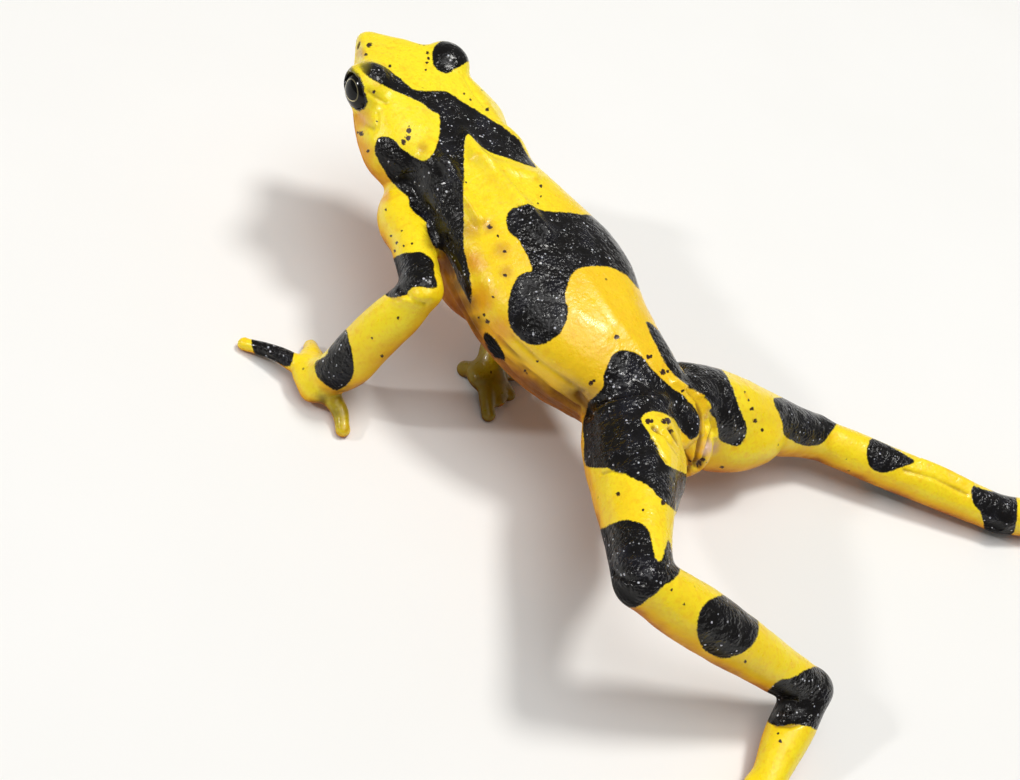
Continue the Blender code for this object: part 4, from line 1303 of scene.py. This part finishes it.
# Painted sheen on the black
SHEEN_BLUE_BLACK = colour(22, 22, 30)
GREEN_BLACK = colour(34, 40, 34)
# Painted glints on the black
GLINT_PALE = colour(214, 216, 224)
IRIS = colour(10, 8, 7)
IRIS_FLECK = colour(70, 52, 24)
PUPIL = colour(2, 2, 2)
RING = colour(244, 230, 178)
FLOOR_TINTS = (colour(238, 238, 236), colour(244, 244, 243))
FLOOR_MOTTLE = 40.0
FLOOR_ROUGHNESS = 0.9
CLIP_START = 0.001

# Noise that shifts a map: size in millimetres, how far either way and, where it differs, detail
LOW_NOISE = (2.4, 0.35)
REAR_NOISE = (5.0, 0.6)
STAIN_AND_SHADE_NOISE = (0.5, 0.35)
SPECK_NOISE = (0.22, 0.6, 2.0)
OLIVE_NOISE = (1.2, 0.3)
EDGE_FINE_NOISE = (0.16, 0.09, 2.0)
EDGE_BROAD_NOISE = (0.9, 0.12)

# Where a tint starts to show on its map, and where it shows in full
REAR_YELLOW = (0.0, 0.7)
REAR_GOLD = (0.4, 1.2)
LOW_GOLD = (0.1, 0.7)
LOW_ORANGE = (0.5, 1.15)
LOW_SHADE_EDGE = (0.95, 1.6)
CREASE_SHADE_EDGE = (0.15, 1.0)
STAIN_AND_SHADE_EDGE = (0.1, 0.9)
FRECKLE_EDGE = (0.10, 0.05)
FRECKLE_PATCH = (0.56, 0.62)
SPECK_FRAY = (0.0, 0.2)
SPECK_EDGE = (0.28, 0.50)
OLIVE_EDGE = (0.05, 0.9)
SHEEN_PATCH = (0.45, 0.75)
GLINT_EDGE = (0.26, 0.14)
GLINT_PATCH = (0.53, 0.60)
HARD_EDGE = (-0.06, 0.06)
SOFT_EDGE = (-0.25, 0.35)
LIP_SHADE_EDGE = (0.26, 0.10)
GRAIN_PATCH = (0.4, 0.65)
BELOW_EDGE = (0.05, 0.6)

# How strongly a tint covers what is under it
REAR_GOLD_COVER = 0.6
SHADE_UMBER_COVER = 0.75
REAR_IN_UMBER = 0.5
FRECKLE_COVER = 0.75
OLIVE_COVER = 0.8
GLINT_COVER = 0.85
THIN_BLACK_COVER = 0.8
LIP_SHADE_COVER = 0.85

# Golden patches: size and detail of the noise, where they show and how strongly they cover
GOLD_PATCHES = ((0.8, 4.0, (0.5, 0.8), 0.7), (0.3, 3.0, (0.45, 0.8), 0.5))

# Sizes of cells and noise in millimetres
FRECKLE_CELL = 1.7
FRECKLE_SIZE = 3.1
SHEEN_SIZE = 2.2
GLINT_CELL = 0.46
GLINT_PATCH_SIZE = 0.8
GLOSS_SIZE = 0.7

# Stains of the skin and painted shade: which map, its tint and how strongly it covers
STAIN_AND_SHADE_TINTS = (("amber", AMBER, 0.85), ("tan", TAN, 0.7), ("umber_shade", SHADE_UMBER, 0.7), ("pink", PINK, 0.85))

# Fine bumps under the gloss: size, detail and roughness of the noise, depth in millimetres, strength
SKIN_BUMPS = ((0.42, 5.0, 0.6, 0.06, 0.6), (1.5, 3.0, 0.55, 0.14, 0.5))
GRAIN_SIZE = 0.30
GRAIN_DEPTH = 0.15
GRAIN_STRENGTH = 0.8
GRAIN_PATCH_NOISE = (1.1, 2.0)

# Height of the grain: what it has everywhere, then what its patches or the black add
GRAIN_UNEVEN = (0.15, 0.85)
GRAIN_WEIGHT = (0.18, 0.82)

# Gloss of the skin: its base, then what the black and the underside add
SKIN_ROUGHNESS = (0.15, -0.10, 0.2)
ROUGHNESS_NOISE = 0.34
SKIN_SPECULAR = (0.42, -0.14, -0.22)
SKIN_COAT = 0.16
SKIN_COAT_ROUGHNESS = 0.08
SUBSURFACE = 0.10
SUBSURFACE_RADIUS = (1.0, 0.55, 0.15)
SUBSURFACE_REACH = 0.5
NOISE_MIDDLE = 0.5


def centred_noise(s, scale, reach, detail=3.0, roughness=0.55):
    """Noise around zero, reach wide either way."""
    return s.times(s.minus(s.noise(scale, detail, roughness), NOISE_MIDDLE), reach * 2)


def skin_tints(s):
    """The yellow of the skin: lemon above, gold and orange below, with stains and specks. Below, the
    orange is partly the skin's own and partly painted shade; umber low on the flank, in creases and in the
    armpit, and olive on the hands, are painted shade.
    """
    low = s.plus(s.attribute("low"), centred_noise(s, *LOW_NOISE))
    rear = s.plus(s.attribute("rear"), centred_noise(s, *REAR_NOISE))
    tint = s.mix(s.ramp(rear, *REAR_YELLOW), LEMON, YELLOW)
    tint = s.mix(s.times(s.ramp(rear, *REAR_GOLD), REAR_GOLD_COVER), tint, GOLD)
    for size, detail, edge, amount in GOLD_PATCHES:
        tint = s.mix(s.times(s.ramp(s.noise(size, detail), *edge), amount), tint, GOLD)
    tint = s.mix(s.ramp(low, *LOW_GOLD), tint, GOLD)
    tint = s.mix(s.ramp(low, *LOW_ORANGE), tint, ORANGE)
    # Umber low on the flank, stronger towards the rear, is painted shade
    dark = s.ramp(s.plus(low, s.times(rear, REAR_IN_UMBER)), *LOW_SHADE_EDGE)
    tint = s.mix(s.times(dark, SHADE_UMBER_COVER), tint, SHADE_UMBER)
    # Creases get painted shade
    crease_shade = s.ramp(s.attribute("crease_shade"), *CREASE_SHADE_EDGE)
    tint = s.mix(s.times(crease_shade, SHADE_UMBER_COVER), tint, SHADE_UMBER)
    # Stains, and painted shade in the armpit, on the cheek and low on the flank
    grain = centred_noise(s, *STAIN_AND_SHADE_NOISE)
    for name, stain_and_shade_tint, amount in STAIN_AND_SHADE_TINTS:
        share = s.ramp(s.plus(s.attribute(name), s.times(grain, s.attribute(name))), *STAIN_AND_SHADE_EDGE)
        tint = s.mix(s.times(share, amount), tint, stain_and_shade_tint)
    freckle = s.ramp(s.cells(FRECKLE_CELL), *FRECKLE_EDGE)
    freckle = s.times(freckle, s.ramp(s.noise(FRECKLE_SIZE), *FRECKLE_PATCH))
    tint = s.mix(s.times(freckle, FRECKLE_COVER), tint, BROWN)
    spot = s.attribute("speck")
    ragged = s.times(centred_noise(s, *SPECK_NOISE), s.ramp(spot, *SPECK_FRAY))
    speck = s.ramp(s.plus(spot, ragged), *SPECK_EDGE)
    tint = s.mix(speck, tint, BROWN)
    # Olive painted shade on the hands, and a dusty band on the nape
    olive_shade_and_dust = s.ramp(s.plus(s.attribute("olive"), centred_noise(s, *OLIVE_NOISE)), *OLIVE_EDGE)
    return s.mix(s.times(olive_shade_and_dust, OLIVE_COVER), tint, OLIVE)


def black_tints(s):
    """The black of the markings, with bluish patches of painted sheen, thin places, and pale points
    painted as glints.
    """
    # Bluish patches of painted sheen on the black
    tint = s.mix(s.ramp(s.noise(SHEEN_SIZE), *SHEEN_PATCH), BLACK, SHEEN_BLUE_BLACK)
    tint = s.mix(s.attribute("thin"), tint, GREEN_BLACK)
    # Pale points painted as glints on the wet black
    painted_glints = s.times(s.ramp(s.cells(GLINT_CELL), *GLINT_EDGE), s.ramp(s.noise(GLINT_PATCH_SIZE), *GLINT_PATCH))
    return s.mix(s.times(painted_glints, GLINT_COVER), tint, GLINT_PALE)


def skin_material():
    s = Shader("frog_skin")
    p = s.principled
    thin = s.attribute("thin")
    edge = s.plus(s.attribute("black"), centred_noise(s, *EDGE_FINE_NOISE))
    edge = s.plus(edge, centred_noise(s, *EDGE_BROAD_NOISE))
    hard = s.ramp(edge, *HARD_EDGE)
    soft = s.ramp(edge, *SOFT_EDGE)
    thick = s.times(hard, s.minus(1.0, thin))
    black = s.plus(thick, s.times(soft, s.times(thin, THIN_BLACK_COVER)))
    tint = s.mix(black, skin_tints(s), black_tints(s))
    # Painted shade along the mouth line and in the nostrils
    lips = s.ramp(s.attribute("lips"), *LIP_SHADE_EDGE)
    s.set(p.inputs["Base Color"], s.mix(s.times(lips, LIP_SHADE_COVER), tint, BROWN))
    cell = s.cells(GRAIN_SIZE)
    dome = s.minus(1.0, s.times(cell, cell))
    everywhere, in_patches = GRAIN_UNEVEN
    patches = s.ramp(s.noise(*GRAIN_PATCH_NOISE), *GRAIN_PATCH)
    uneven = s.plus(everywhere, s.times(patches, in_patches))
    everywhere, on_black = GRAIN_WEIGHT
    weight = s.times(uneven, s.plus(everywhere, s.times(black, on_black)))
    bumps = s.bump(s.times(dome, weight), GRAIN_DEPTH, GRAIN_STRENGTH)
    for size, detail, roughness, depth, strength in SKIN_BUMPS:
        bumps = s.bump(s.noise(size, detail, roughness), depth, strength, bumps)
    s.set(p.inputs["Normal"], bumps)
    base, on_black, on_low = SKIN_ROUGHNESS
    rough = s.plus(s.times(s.noise(GLOSS_SIZE), ROUGHNESS_NOISE), s.times(black, on_black))
    below = s.ramp(s.attribute("low"), *BELOW_EDGE)
    s.set(p.inputs["Roughness"], s.plus(s.plus(rough, base), s.times(below, on_low)))
    base, on_black, on_low = SKIN_SPECULAR
    shine = s.plus(s.times(black, on_black), s.times(below, on_low))
    s.set(p.inputs["Specular IOR Level"], s.plus(shine, base))
    s.set(p.inputs["Coat Weight"], s.times(s.minus(1.0, below), SKIN_COAT))
    p.inputs["Coat Roughness"].default_value = SKIN_COAT_ROUGHNESS
    p.inputs["Subsurface Weight"].default_value = SUBSURFACE
    p.inputs["Subsurface Radius"].default_value = SUBSURFACE_RADIUS
    p.inputs["Subsurface Scale"].default_value = SUBSURFACE_REACH * MM
    return s.material


# The eye, in shares of its drawn size: how much the height counts, and the edges of ring and pupil
EYE_STRETCH = 1.5
RING_EDGE = (0.03, 0.06)
PUPIL_EDGE = (-0.02, 0.08)

# The ring is clearest below: shares of height and breadth, where it fades, and its least and its rest
RING_SLANT = (-1.0, -0.3)
RING_FADE = (-0.3, 0.3)
RING_SHOWS = (0.2, 0.8)
FLECK_SIZE = 0.10
FLECK_EDGE = (0.62, 0.78)
EYE_ROUGHNESS = (0.12, 0.1)
EYE_GLOSS_SIZE = 0.4
EYE_SPECULAR = 0.2
EYE_COAT = 0.12
EYE_COAT_ROUGHNESS = 0.03


def eye_material():
    """A black pupil, a dark iris and a gold ring between them that is clearest below."""
    s = Shader("frog_eye")
    p = s.principled
    x, y = s.attribute("across"), s.attribute("height")
    reach = s.math("SQRT", s.plus(s.times(x, x), s.times(s.times(y, y), EYE_STRETCH)))
    off_ring = s.math("ABSOLUTE", s.minus(reach, RING_RADIUS))
    ring = s.minus(1.0, s.ramp(off_ring, *RING_EDGE))
    of_height, of_breadth = RING_SLANT
    lower = s.plus(s.times(y, of_height), s.times(x, of_breadth))
    least, rest = RING_SHOWS
    ring = s.times(ring, s.plus(least, s.times(s.ramp(lower, *RING_FADE), rest)))
    flecks = s.ramp(s.noise(FLECK_SIZE), *FLECK_EDGE)
    iris = s.mix(flecks, IRIS, IRIS_FLECK)
    inner, outer = (RING_RADIUS + edge for edge in PUPIL_EDGE)
    iris = s.mix(s.ramp(reach, inner, outer), PUPIL, iris)
    s.set(p.inputs["Base Color"], s.mix(ring, iris, RING))
    base, uneven = EYE_ROUGHNESS
    s.set(p.inputs["Roughness"], s.plus(s.times(s.noise(EYE_GLOSS_SIZE), uneven), base))
    p.inputs["Specular IOR Level"].default_value = EYE_SPECULAR
    p.inputs["Coat Weight"].default_value = EYE_COAT
    p.inputs["Coat Roughness"].default_value = EYE_COAT_ROUGHNESS
    return s.material


def floor_material():
    s = Shader("floor")
    s.set(s.principled.inputs["Base Color"], s.mix(s.noise(FLOOR_MOTTLE), *FLOOR_TINTS))
    s.principled.inputs["Roughness"].default_value = FLOOR_ROUGHNESS
    return s.material


def floor():
    bm = bmesh.new()
    bmesh.ops.create_grid(bm, x_segments=2, y_segments=2, size=FLOOR_HALF)
    obj = mesh_object("floor", bm, bpy.context.scene.collection)
    obj.data.materials.append(floor_material())


def camera(shift):
    data = bpy.data.cameras.new("camera")
    data.sensor_width = SENSOR_WIDTH
    data.lens = FOCAL_PIXELS / PICTURE[0] * SENSOR_WIDTH
    data.clip_start = CLIP_START
    obj = bpy.data.objects.new("camera", data)
    turn = Matrix((CAMERA_RIGHT, -CAMERA_DOWN, -CAMERA_FORWARD)).transposed()
    obj.matrix_world = Matrix.Translation(CAMERA_PLACE * MM + shift) @ turn.to_4x4()
    bpy.context.scene.collection.objects.link(obj)
    bpy.context.scene.camera = obj


def lamp(name, place, target, size, power, tint):
    data = bpy.data.lights.new(name, "AREA")
    data.shape = "DISK"
    data.size = size
    data.energy = power
    data.color = tint
    obj = bpy.data.objects.new(name, data)
    obj.location = place
    obj.rotation_euler = (Vector(target) - Vector(place)).to_track_quat("-Z", "Y").to_euler()
    bpy.context.scene.collection.objects.link(obj)


def light():
    scene = bpy.context.scene
    scene.view_settings.view_transform = "Standard"
    world = bpy.data.worlds.new("studio")
    world.use_nodes = True
    back = world.node_tree.nodes["Background"]
    back.inputs["Color"].default_value = WORLD_TINT
    back.inputs["Strength"].default_value = WORLD_STRENGTH
    scene.world = world
    for row in LAMPS:
        lamp(*row)


def main():
    body = skin()
    dress(body)
    eyes = [eye_piece("eye_ball_left", 1), eye_piece("eye_ball_right", -1)]
    shift = onto_model([body] + eyes, body)
    body.data.materials.clear()
    body.data.materials.append(skin_material())
    shine = eye_material()
    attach(body, "root")
    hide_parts(*[name for name in frame["nodes"] if not name.startswith("eye_")])
    for eye, node in zip(eyes, ("eye_left", "eye_right")):
        eye.data.materials.append(shine)
        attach(eye, "root")
        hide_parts(node)
    floor()
    camera(shift)
    light()


main()
